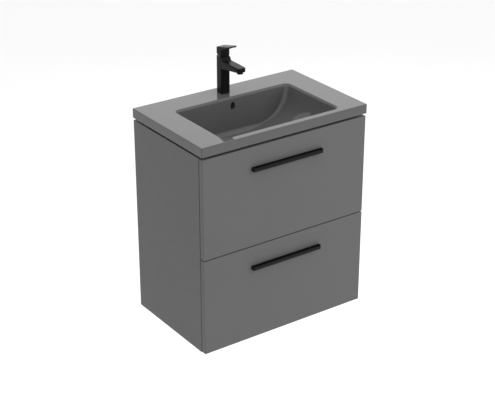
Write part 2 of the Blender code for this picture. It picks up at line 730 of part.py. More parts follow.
def make_drawer(level, front_low, front_high, floor, height, cut_out):
    inner = SIDE_IN - RUNNER_SPACE - DRAWER_SIDE - GAP
    front_y = FRONT_INNER_Y + GAP
    floor_top = floor + DRAWER_SIDE
    pieces = make_front(level, front_low, front_high, front_high - HANDLE_DROP)
    pieces += make_sides(level, floor, height)
    bottom = box(f"{level}_drawer_bottom", (-inner, front_y, floor),
                 (inner, DRAWER_BACK_Y, floor_top))
    back_low = (0.0, DRAWER_BACK_Y - DRAWER_SIDE, floor_top + GAP)
    back_high = (inner, DRAWER_BACK_Y, floor + height - 0.010)
    if cut_out:
        cutter = rounded_rectangle(CUTOUT_HALF_WIDTH, 0.0, CUTOUT_FRONT, 0.030)
        boolean(bottom, loft("cut_out_cutter", [[(x, y, z) for x, y in cutter]
                                                for z in (floor - 0.01, floor_top + 0.01)]))
        guard = make_cut_out_guard(floor, height)
        start = (CUTOUT_HALF_WIDTH + GAP, back_low[1], back_low[2])
        backs = both_sides(f"{level}_drawer_back", start, back_high)
        pieces.append(paint(guard, *MATT_BLACK))
    else:
        backs = [box(f"{level}_drawer_back", (-inner, back_low[1], back_low[2]), back_high)]
    for board in [bottom] + backs:
        pieces.append(paint(board, *CORE_BOARD))
    return pieces


def make_cut_out_guard(floor, height):
    """A U-shaped wall that lines the cut-out, where the trap stands when the drawer is shut."""
    wall = 0.003
    top = floor + height - 0.010
    sections = []
    for inset in (GAP, wall + GAP):
        outline = rounded_rectangle(CUTOUT_HALF_WIDTH - inset, DRAWER_BACK_Y + 0.05 - inset,
                                    CUTOUT_FRONT + inset, 0.030 - inset)
        sections.append(outline)
    outer, inner = sections
    guard = loft("upper_cut_out_guard", [[(x, y, z) for x, y in outer] for z in (floor, top)])
    boolean(guard, loft("guard_hollow", [[(x, y, z) for x, y in inner]
                                         for z in (floor - 0.01, top + 0.01)]))
    boolean(guard, box("guard_rear_cutter", (-0.2, DRAWER_BACK_Y, floor - 0.02),
                       (0.2, 0.1, top + 0.02)))
    return guard


def make_drawers():
    levels = (
        ("upper", SPLIT_Z + SPLIT_GAP / 2, CABINET_TOP, UPPER_DRAWER_FLOOR,
         UPPER_DRAWER_HEIGHT, True),
        ("lower", CABINET_BOTTOM + FRONT_GAP, SPLIT_Z - SPLIT_GAP / 2, LOWER_DRAWER_FLOOR,
         LOWER_DRAWER_HEIGHT, False),
    )
    for level, front_low, front_high, floor, height, cut_out in levels:
        middle = (front_low + front_high) / 2
        slide = joint_empty(f"{level}_drawer_slide", (0, -CABINET_DEPTH, middle))
        ride(make_drawer(level, front_low, front_high, floor, height, cut_out), slide)
        middles = make_runners(level, floor)
        for side, member in zip(("left", "right"), middles):
            runner = joint_empty(f"{level}_{side}_runner_slide", member.location)
            ride([member], runner)


def main():
    clear_scene()
    make_basin()
    make_waste()
    make_trap()
    make_tap()
    make_carcass()
    make_drawers()


main()
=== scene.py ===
"""Wall-hung bathroom vanity: glazed basin, black tap and pulls, drawers and plumbing.

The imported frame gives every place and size. Each operator makes one piece or a group of like
pieces as a surface worked out with numpy, gives it a finish and hangs it on its body.
"""

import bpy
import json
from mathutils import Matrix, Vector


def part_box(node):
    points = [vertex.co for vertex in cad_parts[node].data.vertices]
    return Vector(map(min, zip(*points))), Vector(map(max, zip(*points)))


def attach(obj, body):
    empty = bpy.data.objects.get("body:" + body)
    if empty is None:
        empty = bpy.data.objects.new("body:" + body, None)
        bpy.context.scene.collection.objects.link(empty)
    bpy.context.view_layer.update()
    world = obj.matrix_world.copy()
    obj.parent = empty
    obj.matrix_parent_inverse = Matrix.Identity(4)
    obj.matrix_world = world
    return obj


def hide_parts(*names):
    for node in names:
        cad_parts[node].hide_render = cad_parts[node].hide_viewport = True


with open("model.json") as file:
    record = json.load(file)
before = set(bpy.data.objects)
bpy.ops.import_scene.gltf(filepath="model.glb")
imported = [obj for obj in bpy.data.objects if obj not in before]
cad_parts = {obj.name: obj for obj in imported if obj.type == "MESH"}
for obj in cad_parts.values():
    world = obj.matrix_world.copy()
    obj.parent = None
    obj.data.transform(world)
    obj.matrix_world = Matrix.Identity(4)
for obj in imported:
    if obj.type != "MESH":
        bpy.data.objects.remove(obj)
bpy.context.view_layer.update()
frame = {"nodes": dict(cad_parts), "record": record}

import json
import math

import bmesh
import bpy
import numpy as np
from mathutils import Matrix, Vector

bl_info = {
    "name": "Bathroom Vanity Builder",
    "version": (1, 0, 0),
    "blender": (4, 5, 0),
    "location": "View3D > Sidebar > Vanity",
    "description": "Builds a wall-hung vanity with basin, tap and two drawers on its packed frame",
    "category": "Object",
}


# ---------------------------------------------------------------------------------------------
# Sizes and colours a user would change


def length(name, description, default):
    """A size in metres."""
    return bpy.props.FloatProperty(
        name=name, description=description, default=default, unit="LENGTH", precision=5
    )


def colour(name, description, default):
    """A linear colour."""
    return bpy.props.FloatVectorProperty(
        name=name, description=description, default=default, subtype="COLOR", min=0.0, max=1.0
    )


class VanitySizes(bpy.types.PropertyGroup):
    ceramic: length("Ceramic", "Wall thickness of the basin", 0.009)
    rim_across: length("Rim width", "Width of the bevel round the bowl, from above", 0.005)
    rim_drop: length("Rim drop", "Height of the bevel round the bowl", 0.0065)
    edge_radius: length("Edge radius", "Rounding of the slab's outer edges", 0.0025)
    bowl_corner: length("Bowl corner", "Corner radius of the bowl at its rim, from above", 0.017)
    bowl_low_corner: length("Low corner", "Corner radius of the bowl at its floor", 0.014)
    bowl_fillet: length("Bowl fillet", "Rounding between the walls and the floor", 0.016)
    front_edge: length("Front edge", "Rounding of the drawer fronts' edges", 0.0012)
    board_edge: length("Board edge", "Rounding of the carcass boards' edges", 0.0008)
    pull_wall: length("Pull wall", "Wall thickness of the channel pulls", 0.002)
    column_corner: length("Column corner", "Corner radius of the tap's column", 0.0075)
    spout_edge: length("Spout edge", "Rounding along the spout's edges", 0.0032)


class VanityColours(bpy.types.PropertyGroup):
    glaze: colour("Glaze", "Grey glaze of the basin", (0.068, 0.0684, 0.068))
    lacquer: colour("Lacquer", "Lacquer of the fronts and side panels", (0.093, 0.0938, 0.0931))
    board: colour("Board", "Melamine inside the cabinet", (0.20, 0.20, 0.197))
    black: colour("Black", "Matt black coating of the tap and the pulls", (0.0052, 0.0055, 0.0055))
    steel: colour("Drawer steel", "Powder coat of the drawer sides", (0.075, 0.078, 0.082))
    plastic: colour("Trap plastic", "White plastic of the bottle trap", (0.74, 0.74, 0.72))


class VanityStage(bpy.types.PropertyGroup):
    azimuth: bpy.props.FloatProperty(
        name="Azimuth", description="Camera angle round the object", default=math.radians(-35.12),
        subtype="ANGLE"
    )
    elevation: bpy.props.FloatProperty(
        name="Elevation", description="Camera angle above the horizon",
        default=math.radians(25.73), subtype="ANGLE"
    )
    distance: length("Distance", "From the camera to its target", 4.22)
    focal: bpy.props.FloatProperty(
        name="Focal length", description="Lens of the camera in millimetres", default=97.0
    )
    floor_drop: length("Floor drop", "From the cabinet's underside to the floor", 0.75)


def sizes():
    return bpy.context.scene.vanity_sizes


def colours():
    return bpy.context.scene.vanity_colours


# ---------------------------------------------------------------------------------------------
# Materials


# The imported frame's own plain materials carry the slots' names, so these end differently.
FINISH_SUFFIX = "_finish"

ALONG_X, ALONG_Y, RINGS = (0.08, 1.0, 1.0), (1.0, 0.05, 1.0), (0.04, 0.04, 1.0)

# base is a colour, or the name of one in VanityColours. The other three give their amounts and
# then their noise (scale, detail, stretch): drift has the share by which the colour wanders,
# rough its lowest and highest roughness, and relief its height in metres and its strength.
FINISHES = {
    # Mirror-gloss glaze: hardly any colour drift, and a slow ripple in the reflections.
    "grey_glaze": dict(base="glaze", drift=(0.02, 9.0), rough=(0.012, 0.028, 40.0),
                       relief=(0.00004, 0.12, 14.0, 1.0), IOR=1.42),
    # Satin-matt lacquer with the fine orange peel of a sprayed board.
    "grey_lacquer": dict(base="lacquer", drift=(0.015, 5.0), rough=(0.47, 0.56, 60.0),
                         relief=(0.00006, 0.35, 700.0, 2.0), Specular_IOR_Level=0.18),
    # Printed melamine: a faint grain along X and a dry, even sheen.
    "grey_melamine": dict(base="board", drift=(0.06, 60.0, 3.0, ALONG_X),
                          rough=(0.5, 0.62, 120.0),
                          relief=(0.00008, 0.4, 420.0, 3.0, (0.2, 1.0, 1.0))),
    # Electro-deposited matt black: a dull sheen over a very fine tooth.
    "black_coating": dict(base="black", drift=(0.10, 30.0), rough=(0.27, 0.35, 180.0),
                          relief=(0.00003, 0.4, 1600.0, 2.0), Specular_IOR_Level=0.1),
    # Powder-coated steel: a soft pebble a fraction of a millimetre across.
    "drawer_steel": dict(base="steel", drift=(0.04, 20.0), rough=(0.38, 0.48, 150.0),
                         relief=(0.00007, 0.5, 1100.0, 1.0), metallic=0.25),
    # Zinc-plated steel: a drawn grain along Y with cloudy plating.
    "zinc_plate": dict(base=(0.56, 0.57, 0.59), drift=(0.10, 45.0),
                       rough=(0.26, 0.46, 240.0, 3.0, ALONG_Y),
                       relief=(0.00003, 0.4, 900.0, 3.0, (1.0, 0.03, 1.0)), metallic=1.0),
    "polished_chrome": dict(base=(0.74, 0.75, 0.77), drift=(0.015, 30.0),
                            rough=(0.06, 0.12, 90.0), relief=(0.00004, 0.2, 60.0, 1.0),
                            metallic=1.0),
    # Brass straight from the lathe: fine rings that follow the height.
    "turned_brass": dict(base=(0.62, 0.46, 0.21), drift=(0.08, 50.0),
                         rough=(0.24, 0.40, 900.0, 3.0, RINGS),
                         relief=(0.00003, 0.5, 900.0, 3.0, RINGS), metallic=1.0),
    "black_rubber": dict(base=(0.018, 0.018, 0.018), drift=(0.15, 40.0),
                         rough=(0.74, 0.86, 200.0), relief=(0.00008, 0.5, 800.0),
                         Specular_IOR_Level=0.3),
    # Moulded white polypropylene: waxy, with a faint flow mottle.
    "white_plastic": dict(base="plastic", drift=(0.02, 18.0), rough=(0.33, 0.44, 90.0),
                          relief=(0.00005, 0.3, 260.0), Subsurface_Weight=0.06,
                          Subsurface_Scale=0.004),
    "black_plastic": dict(base=(0.022, 0.022, 0.023), drift=(0.08, 30.0),
                          rough=(0.45, 0.58, 160.0), relief=(0.00006, 0.5, 1400.0, 1.0)),
    # Matt paper for the floor, with one even roughness.
    "pale_floor": dict(base=(0.93, 0.93, 0.93), drift=(0.004, 1.5), rough=(0.8,)),
}

SLOT_FINISHES = {
    "glazed_ceramic": "grey_glaze", "waste_cap": "grey_glaze", "grey_lacquer": "grey_lacquer",
    "core_board": "grey_melamine", "matt_black_metal": "black_coating",
    "support_steel": "black_coating", "drawer_steel": "drawer_steel",
    "black_plastic": "black_plastic", "zinc_steel": "zinc_plate", "chrome": "polished_chrome",
    "brass": "turned_brass", "rubber": "black_rubber", "trap_plastic": "white_plastic",
    "valve_plastic": "black_plastic",
}


def make_finish(name, base, drift, rough, relief=None, metallic=0.0, **sockets):
    """A Principled shader whose colour, roughness and bump come from noise in Object coordinates.
    The middle four tenths of a noise are spread over the whole range that it steers. Values that
    are the same all over stay on the shader's sockets."""
    material = bpy.data.materials.new(name + FINISH_SUFFIX)
    material.use_nodes = True
    tree = material.node_tree
    shader = tree.nodes["Principled BSDF"]

    def node(kind, **values):
        made = tree.nodes.new("ShaderNode" + kind)
        for socket, value in values.items():
            made.inputs[socket.replace("_", " ")].default_value = value
        return made

    place = node("TexCoord").outputs["Object"]

    def noise(scale, detail=3.0, stretch=None):
        made = node("TexNoise", Scale=scale, Detail=detail, Roughness=0.5)
        source = place
        if stretch:
            mapping = node("Mapping", Scale=stretch)
            tree.links.new(place, mapping.inputs["Vector"])
            source = mapping.outputs["Vector"]
        tree.links.new(source, made.inputs["Vector"])
        return made.outputs["Fac"]

    for socket, value in {"Metallic": metallic, "Roughness": rough[0], **sockets}.items():
        shader.inputs[socket.replace("_", " ")].default_value = value
    ramp = node("ValToRGB")
    for stop, position, share in zip(ramp.color_ramp.elements, (0.3, 0.7), (-drift[0], drift[0])):
        stop.position = position
        stop.color = (*(value * (1 + share) for value in base), 1.0)
    tree.links.new(noise(*drift[1:]), ramp.inputs["Fac"])
    tree.links.new(ramp.outputs["Color"], shader.inputs["Base Color"])
    if len(rough) > 1:
        spread = node("MapRange", From_Min=0.3, From_Max=0.7, To_Min=rough[0], To_Max=rough[1])
        tree.links.new(noise(*rough[2:]), spread.inputs["Value"])
        tree.links.new(spread.outputs["Result"], shader.inputs["Roughness"])
    if relief:
        bump = node("Bump", Distance=relief[0], Strength=relief[1])
        tree.links.new(noise(*relief[2:]), bump.inputs["Height"])
        tree.links.new(bump.outputs["Normal"], shader.inputs["Normal"])
    return material


def finish(name):
    """A finish by its name, made once and shared by all its pieces."""
    made = bpy.data.materials.get(name + FINISH_SUFFIX)
    if made is None:
        recipe = dict(FINISHES[name])
        if isinstance(recipe["base"], str):
            recipe["base"] = getattr(colours(), recipe["base"])
        made = make_finish(name, **recipe)
    return made


def dress(obj, slot, angle):
    """Put a record slot's finish on a piece and shade it smooth up to the given angle."""
    obj.data.materials.clear()
    obj.data.materials.append(finish(SLOT_FINISHES[slot]))
    obj.data.shade_smooth()
    obj.data.set_sharp_from_angle(angle=math.radians(angle))


# ---------------------------------------------------------------------------------------------
# Surfaces


def outline(half_x, back, front, radius, steps=8, lead=0.0008):
    """Rounded rectangle as an (n, 2) array, anticlockwise: a quarter circle at each corner, and
    three points on each straight side, two of them close to its ends so that it shades flat."""
    angles = np.radians(np.linspace(0.0, 90.0, steps + 1))
    arc = np.stack([np.cos(angles), np.sin(angles)], axis=1) * radius
    centres = np.array([
        (half_x - radius, back - radius), (radius - half_x, back - radius),
        (radius - half_x, front + radius), (half_x - radius, front + radius),
    ])
    arcs = []
    for quarter, centre in enumerate(centres):
        cosine, sine = ((1, 0), (0, 1), (-1, 0), (0, -1))[quarter]
        arcs.append(arc @ np.array([[cosine, sine], [-sine, cosine]]) + centre)
    parts = []
    for quarter in range(4):
        start, end = arcs[quarter][-1], arcs[(quarter + 1) % 4][0]
        near = min(lead / max(np.linalg.norm(end - start), 1e-9), 0.25)
        shares = np.array([near, 0.5, 1.0 - near])[:, None]
        parts += [arcs[quarter], start + (end - start) * shares]
    return np.concatenate(parts)


def at_height(flat, height):
    """An (n, 2) outline lifted to a height, as (n, 3) points."""
    return np.column_stack([flat, np.full(len(flat), height)])


def quarter(radius, steps, start=0.0):
    """A quarter circle between two faces as rows of (inset, rise): the radius times one less the
    sine and one less the cosine of an angle that runs from start to 90 degrees."""
    angles = np.radians(np.linspace(start, 90.0, steps + 1))
    return radius * np.column_stack([1 - np.sin(angles), 1 - np.cos(angles)])


def fall(radius, share):
    """How far a quarter circle has fallen away at a share of its radius: r (1 - sqrt(1 - t^2))."""
    return radius * (1 - np.sqrt(1 - share**2))


def mirrored(section, wide):
    """A closed section of (across, height) turned left to right, and still anticlockwise."""
    return np.column_stack([wide - section[:, 0], section[:, 1]])[::-1]


def mm(*rows):
    """Profile rows in millimetres, as (radius, height) in metres. A third value, the share of a
    wave, stays as it is."""
    return [(row[0] * 0.001, row[1] * 0.001, *row[2:]) for row in rows]


def rounded(points, radius, steps=4):
    """A polygon of (a, b) points whose corners become arcs tangent to both of their sides."""
    points = np.asarray(points, dtype=float)
    back, ahead = np.roll(points, 1, axis=0) - points, np.roll(points, -1, axis=0) - points
    reach_back = np.linalg.norm(back, axis=1, keepdims=True)
    reach_ahead = np.linalg.norm(ahead, axis=1, keepdims=True)
    back, ahead = back / reach_back, ahead / reach_ahead
    half = np.arccos(np.clip((back * ahead).sum(axis=1, keepdims=True), -1.0, 1.0)) / 2
    cut = np.minimum(radius / np.tan(half), 0.45 * np.minimum(reach_back, reach_ahead))
    middle = (back + ahead) / np.linalg.norm(back + ahead, axis=1, keepdims=True)
    centre = points + middle * cut / np.cos(half)
    start, end = (points + back * cut - centre)[:, None], (points + ahead * cut - centre)[:, None]
    sweep = (math.pi - 2 * half)[..., None]
    share = np.linspace(0.0, 1.0, steps + 1)[None, :, None]
    arc = (start * np.sin((1 - share) * sweep) + end * np.sin(share * sweep)) / np.sin(sweep)
    return (centre[:, None] + arc).reshape(-1, 2)


def skin(name, rings, loop=False):
    """Quads between neighbouring rings of an (m, n, 3) array. Each ring closes on itself; the
    stack closes on itself too when loop is set, or else a flat cap closes either end."""
    rings = np.asarray(rings, dtype=np.float64)
    count, size = rings.shape[:2]
    index = np.arange(count * size).reshape(count, size)
    lower = index if loop else index[:-1]
    upper = np.roll(index, -1, axis=0) if loop else index[1:]
    quads = np.stack(
        [lower, np.roll(lower, -1, axis=1), np.roll(upper, -1, axis=1), upper], axis=-1
    )
    faces = quads.reshape(-1, 4).tolist()
    if not loop:
        faces += [index[0][::-1].tolist(), index[-1].tolist()]
    mesh = bpy.data.meshes.new(name)
    mesh.from_pydata(rings.reshape(-1, 3).tolist(), [], faces)
    return tidy(bpy.data.objects.new(name, mesh))


def tidy(obj):
    """Merge doubles, drop faces with no area and turn every face outwards."""
    shape = bmesh.new()
    shape.from_mesh(obj.data)
    bmesh.ops.remove_doubles(shape, verts=shape.verts, dist=1e-6)
    bmesh.ops.dissolve_degenerate(shape, edges=shape.edges, dist=1e-7)
    bmesh.ops.recalc_face_normals(shape, faces=shape.faces)
    shape.to_mesh(obj.data)
    shape.free()
    if obj.name not in bpy.context.scene.collection.objects:
        bpy.context.scene.collection.objects.link(obj)
    return obj


def stack(name, flat, profile, axes="xyz"):
    """Rings of one outline. flat(inset) is the outline at an inset, and the profile is a list of
    (inset, height); axes says which axis takes the outline's a, its b, and the height."""
    order = [axes.index(axis) for axis in "xyz"]
    return skin(name, [at_height(flat(inset), height)[:, order] for inset, height in profile])


def pillow(thickness, radius, steps=4, lead=0.0008):
    """Profile of a board with both faces' edges rounded, as (inset, height) from 0 upwards."""
    low = [(radius + lead, 0.0), *quarter(radius, steps)]
    edge = [(0.0, radius + lead), (0.0, thickness - radius - lead)]
    return low + edge + [(inset, thickness - rise) for inset, rise in reversed(low)]


def board(name, low, high, radius, along="y"):
    """A rounded board between two corners. Its outline lies across the axis it is thick along."""
    low, high = np.array(low, dtype=float), np.array(high, dtype=float)
    rest = [axis for axis in "xyz" if axis != along]
    a, b, c = (("xyz").index(axis) for axis in rest + [along])
    middle = (low[a] + high[a]) / 2
    half = (high[a] - low[a]) / 2

    def flat(inset):
        ring = outline(half - inset, high[b] - inset, low[b] + inset,
                       max(radius * 1.5 - inset, 1e-4), steps=3)
        return ring + (middle, 0.0)

    profile = [(inset, low[c] + height) for inset, height in pillow(high[c] - low[c], radius)]
    return stack(name, flat, profile, axes="".join(rest) + along)


def extrude(name, section, start, end, axes):
    """A closed section of (a, b) points carried in a straight line from start to end."""
    return stack(name, lambda inset: section, [(0.0, start), (0.0, end)], axes)


def carried(name, path, section):
    """A closed section of (across, height) carried along a path seen from above: the point on the
    path, plus across times the unit vector to its left."""
    path, section = np.asarray(path), np.asarray(section)
    heading = np.gradient(path, axis=0)
    heading /= np.linalg.norm(heading, axis=1, keepdims=True)
    left = np.stack([-heading[:, 1], heading[:, 0]], axis=1)
    rings = np.zeros((len(path), len(section), 3))
    rings[..., :2] = path[:, None] + left[:, None] * section[None, :, :1]
    rings[..., 2] = section[None, :, 1]
    return skin(name, rings)


def turned(name, profile, centre, count=48, axis="z", loop=False, wave=None):
    """A profile of (radius, height) turned about an axis through centre. The radius is less by
    wave(angle, height) times a row's third value. With loop the profile closes on itself, as a
    tube's does, and otherwise it starts and ends on the axis."""
    rows = np.array([(*row, 0.0)[:3] for row in profile])
    angles = np.linspace(0.0, math.tau, count, endpoint=False)
    radius = np.repeat(np.maximum(rows[:, :1], 1e-5), count, axis=1)
    height = np.repeat(rows[:, 1:2], count, axis=1)
    if wave:
        radius = radius - rows[:, 2:] * wave(angles, height)
    across, along = radius * np.cos(angles), radius * np.sin(angles)
    columns = (across, along, height) if axis == "z" else (along, height, across)
    return skin(name, np.stack(columns, axis=-1) + np.asarray(centre), loop=loop)


def grip_ribs(count, depth):
    """A wave for turned: grooves along the axis, a raised cosine of the angle."""
    return lambda angles, height: depth * (0.5 - 0.5 * np.cos(angles * count))


def screw_thread(pitch, depth):
    """A wave for turned: a V groove that climbs one pitch a turn."""
    return lambda angles, height: depth * abs((height / pitch - angles / math.tau) % 1.0 - 0.5) * 2


def thread_rows(radius, start, end, pitch):
    """Profile rows close enough for a thread, fading in and out over one pitch."""
    heights = np.linspace(start, end, int(abs(end - start) / pitch * 6))
    share = np.minimum(np.minimum(abs(heights - start), abs(heights - end)) / pitch, 1.0)
    return list(zip(np.full(len(heights), radius), heights, share))


def nut(name, centre, low, high, across, hole, count=96):
    """A chamfered hexagon with a bore: the distance to the flat over the cosine of the angle from
    the flat's middle, held under a cone at both ends."""
    angles = np.linspace(0.0, math.tau, count, endpoint=False)
    sector = math.tau / 6
    flat = across / 2 / np.cos((angles + sector / 2) % sector - sector / 2)
    corner = across / 2 / math.cos(sector / 2)
    cone = np.linspace(0.97 * across / 2, corner, 5)
    drop = np.linspace(0.0, (corner - across / 2) * 0.6, 5)
    rows = [(hole, low), *zip(cone, low + drop), *zip(cone[::-1], high - drop[::-1]), (hole, high)]
    rings = []
    for limit, height in rows:
        radius = np.minimum(limit, flat)
        rings.append(np.stack([radius * np.cos(angles), radius * np.sin(angles),
                               np.full(count, height)], axis=1) + np.asarray(centre))
    return skin(name, rings, loop=True)


def channel(name, low, high, wall, lip, opening):
    """A folded C channel along Y whose lips face the given way along X, -1 or 1."""
    wide, tall = high[0] - low[0], high[2] - low[2]
    path = [(0, 0), (wide, 0), (wide, lip), (wide - wall, lip), (wide - wall, wall), (wall, wall),
            (wall, tall - wall), (wide - wall, tall - wall), (wide - wall, tall - lip),
            (wide, tall - lip), (wide, tall), (0, tall)]
    section = rounded(path, wall * 0.9)
    if opening < 0:
        section = mirrored(section, wide)
    return extrude(name, section + (low[0], low[2]), low[1], high[1], "xzy")


def screw_head(name, centre, radius, rise, axis, facing):
    """A domed head with a cross recess, a height field over its disc: a paraboloid, less a slot
    where the nearer of the two cross axes is close. axis is x or y, facing is -1 or 1."""
    angles = np.linspace(0.0, math.tau, 48, endpoint=False)
    share = np.append(np.linspace(0.02, 1.0, 14), 1.0)[:, None]
    a, b = share * np.cos(angles), share * np.sin(angles)
    slot = np.exp(-((np.minimum(abs(a), abs(b)) / 0.11) ** 4))
    slot *= 1 / (1 + np.exp((np.maximum(abs(a), abs(b)) - 0.55) * 40))
    height = rise * (1 - 0.55 * share**2 - 0.6 * slot)
    height[-1] = 0.0
    a, b = a * radius, b * radius
    columns = (facing * height, a, b) if axis == "x" else (a, facing * height, b)
    return skin(name, np.stack(columns, axis=-1) + np.asarray(centre))


def rod(name, start, end, radius, count=24, edge=0.0003):
    """A round bar with softened ends along any line."""
    start, end = Vector(start), Vector(end)
    span = (end - start).length
    profile = [(radius - edge, 0.0), (radius, edge), (radius, span - edge), (radius - edge, span)]
    obj = turned(name, profile, (0, 0, 0), count=count)
    turn = (end - start).to_track_quat("Z", "Y").to_matrix().to_4x4()
    turn.translation = start
    obj.data.transform(turn)
    return tidy(obj)


# How far a cutting tool reaches past what it cuts.
PAST = 0.01


def carve(obj, tool, operation="DIFFERENCE"):
    """Cut, join or intersect with a second solid and keep only the result."""
    modifier = obj.modifiers.new("carve", "BOOLEAN")
    modifier.operation = operation
    modifier.solver = "EXACT"
    modifier.object = tool
    bpy.context.view_layer.update()
    evaluated = obj.evaluated_get(bpy.context.evaluated_depsgraph_get())
    mesh = bpy.data.meshes.new_from_object(evaluated)
    obj.modifiers.clear()
    old = obj.data
    obj.data = mesh
    mesh.name = obj.name
    bpy.data.meshes.remove(old)
    bpy.data.objects.remove(tool)
    return obj


def bore(obj, start, end, radius, count=24):
    """Cut a round hole between two points."""
    return carve(obj, rod("bore_tool", start, end, radius, count))


def merge(obj, *others):
    """Take other closed shapes into one object."""
    shape = bmesh.new()
    shape.from_mesh(obj.data)
    for other in others:
        shape.from_mesh(other.data)
        bpy.data.objects.remove(other)
    shape.to_mesh(obj.data)
    shape.free()
    return obj


def place(obj, body, slot, replaces=(), angle=30.0):
    """Give a finished piece its finish and shading, and hang it on its body."""
    dress(obj, slot, angle)
    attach(obj, body)
    if replaces:
        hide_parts(*replaces)
    return obj


def box_of(node):
    """Lowest and highest corner of a frame node."""
    low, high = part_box(node)
    return np.array(low), np.array(high)


def middle_of(node):
    """Half of the lowest corner plus the highest one."""
    return sum(box_of(node)) / 2


# ---------------------------------------------------------------------------------------------
# Basin


class BowlShape:
    """Sizes of the slab and its bowl. The slab's box and the drain come from the frame, and the
    bowl's sizes are those of the basin's CAD solid."""

    def __init__(self):
        self.low, self.high = box_of("basin")
        self.top = self.high[2]
        self.half = self.high[0]
        self.apron = 0.031
        self.half_width = 0.2135
        self.back, self.front = -0.095, -0.362
        self.depth = 0.117
        self.roundness = 3.5
        self.back_slope = math.tan(math.radians(7.0))
        self.front_slope = math.tan(math.radians(19.0))
        self.side_slope = math.tan(math.radians(16.0))
        self.floor = self.top - self.depth
        self.drain_y = middle_of("waste_plug")[1]
        self.drain = np.array([0.0, self.drain_y, self.floor])

    def share(self, depth):
        """Depth as a share of the whole, just under one at the floor."""
        return max(depth, 0.0) / (self.depth + 0.001)

    def corner(self, depth):
        """Corner radius from above, which shrinks evenly from the rim to the floor."""
        top, low = sizes().bowl_corner, sizes().bowl_low_corner
        return top + (low - top) * self.share(depth)

    def section(self, depth, wall=0.0):
        """Outline at one depth. The side walls follow a superellipse, |x/a|^n + |z/h|^n = 1, that
        also leans inwards. The back and front walls lean inwards in proportion to the depth, and
        a quarter circle leads them into the floor. wall moves the outline outwards."""
        fillet = sizes().bowl_fillet
        share = self.share(depth)
        half = self.half_width * (1 - share**self.roundness) ** (1 / self.roundness) + wall
        half -= self.side_slope * depth
        step = fall(fillet, max(0.0, depth - self.depth + fillet) / fillet)
        back = self.back - self.back_slope * depth - step + wall
        front = self.front + self.front_slope * depth + step - wall
        return at_height(outline(half, back, front, self.corner(depth) + wall, 10),
                         self.top - depth)


def basin_rings(bowl):
    """One closed profile carried round the drain: up the bowl, over the rim, across the deck,
    down the apron, back along the underside, down the outside of the bowl and into the drain."""
    rings = []
    edge, foot = sizes().edge_radius, 0.002
    across, drop, wall = sizes().rim_across, sizes().rim_drop, sizes().ceramic
    top, bottom, under = bowl.top, bowl.top - bowl.apron, bowl.top - wall

    def ring(flat, height):
        rings.append(at_height(flat, height))  # every outline has the same number of points

    def drain(radius, height):
        """Almost a circle: a square with its corners rounded nearly to the middle of each side."""
        side = radius + 0.0003
        ring(outline(side, bowl.drain_y + side, bowl.drain_y - side, radius, 10),
             bowl.floor + height)

    def opening(section, out, height):
        """The bowl's mouth at one of its sections, grown evenly outwards."""
        ring(outline(section[:, 0].max() + out, section[:, 1].max() + out,
                     section[:, 1].min() - out, corner + out, 10), height)

    def slab(inset, height, radius=0.0032):
        """The slab's outer outline, moved inwards."""
        ring(outline(bowl.half - inset, bowl.high[1] - inset, bowl.low[1] + inset,
                     max(radius - inset, 0.0004), 10), height)

    for radius, height in mm((22.5, -24.8), (22.5, -4.3), (32.2, -4.3), (32.2, -1.2), (32.8, -0.4),
                             (34.0, 0.0), (35.0, 0.0)):
        drain(radius, height)
    depths = bowl.depth * (1 - np.linspace(0.0, 1.0, 48) ** 1.7)
    rings += [bowl.section(depth) for depth in depths[depths > drop + 0.002]]
    mouth, corner = bowl.section(drop + 0.0015), bowl.corner(drop)
    bevel = rounded([(0.0, -drop - 0.0015), (0.0003, -drop), (across, 0.0),
                     (across + 0.0020, 0.0), (across + 0.0020, -0.5), (0.0, -0.5)], 0.0012, 4)
    for out, height in (*bevel[5:15], (across + 0.0009, 0.0), (across + 0.0021, 0.0)):
        opening(mouth, out, top + height)
    slab(edge + 0.0012, top)
    for inset, rise in quarter(edge, 6):
        slab(inset, top - rise)
    slab(0.0, top - edge - 0.001)
    slab(0.0, bottom + 0.003)
    for rise, inset in quarter(foot, 4):
        slab(inset, bottom + rise)
    slab(wall - 0.0015, bottom)
    slab(wall, bottom + 0.0015)
    slab(wall, under - 0.004, 0.012)
    slab(wall + 0.004, under, 0.012)
    corner += wall
    opening(bowl.section(wall + 0.006, wall), 0.005, under)
    for depth in np.linspace(wall + 0.006, bowl.depth, 24):
        shell = bowl.section(depth, wall)
        shell[:, 2] -= wall * np.clip((depth - 0.4 * bowl.depth) / (0.6 * bowl.depth), 0.0, 1.0)
        rings.append(shell)
    drain(0.0345, -wall)
    drain(0.0340, -wall - 0.001)
    drain(0.0340, -0.0238)
    drain(0.0330, -0.0248)
    return rings


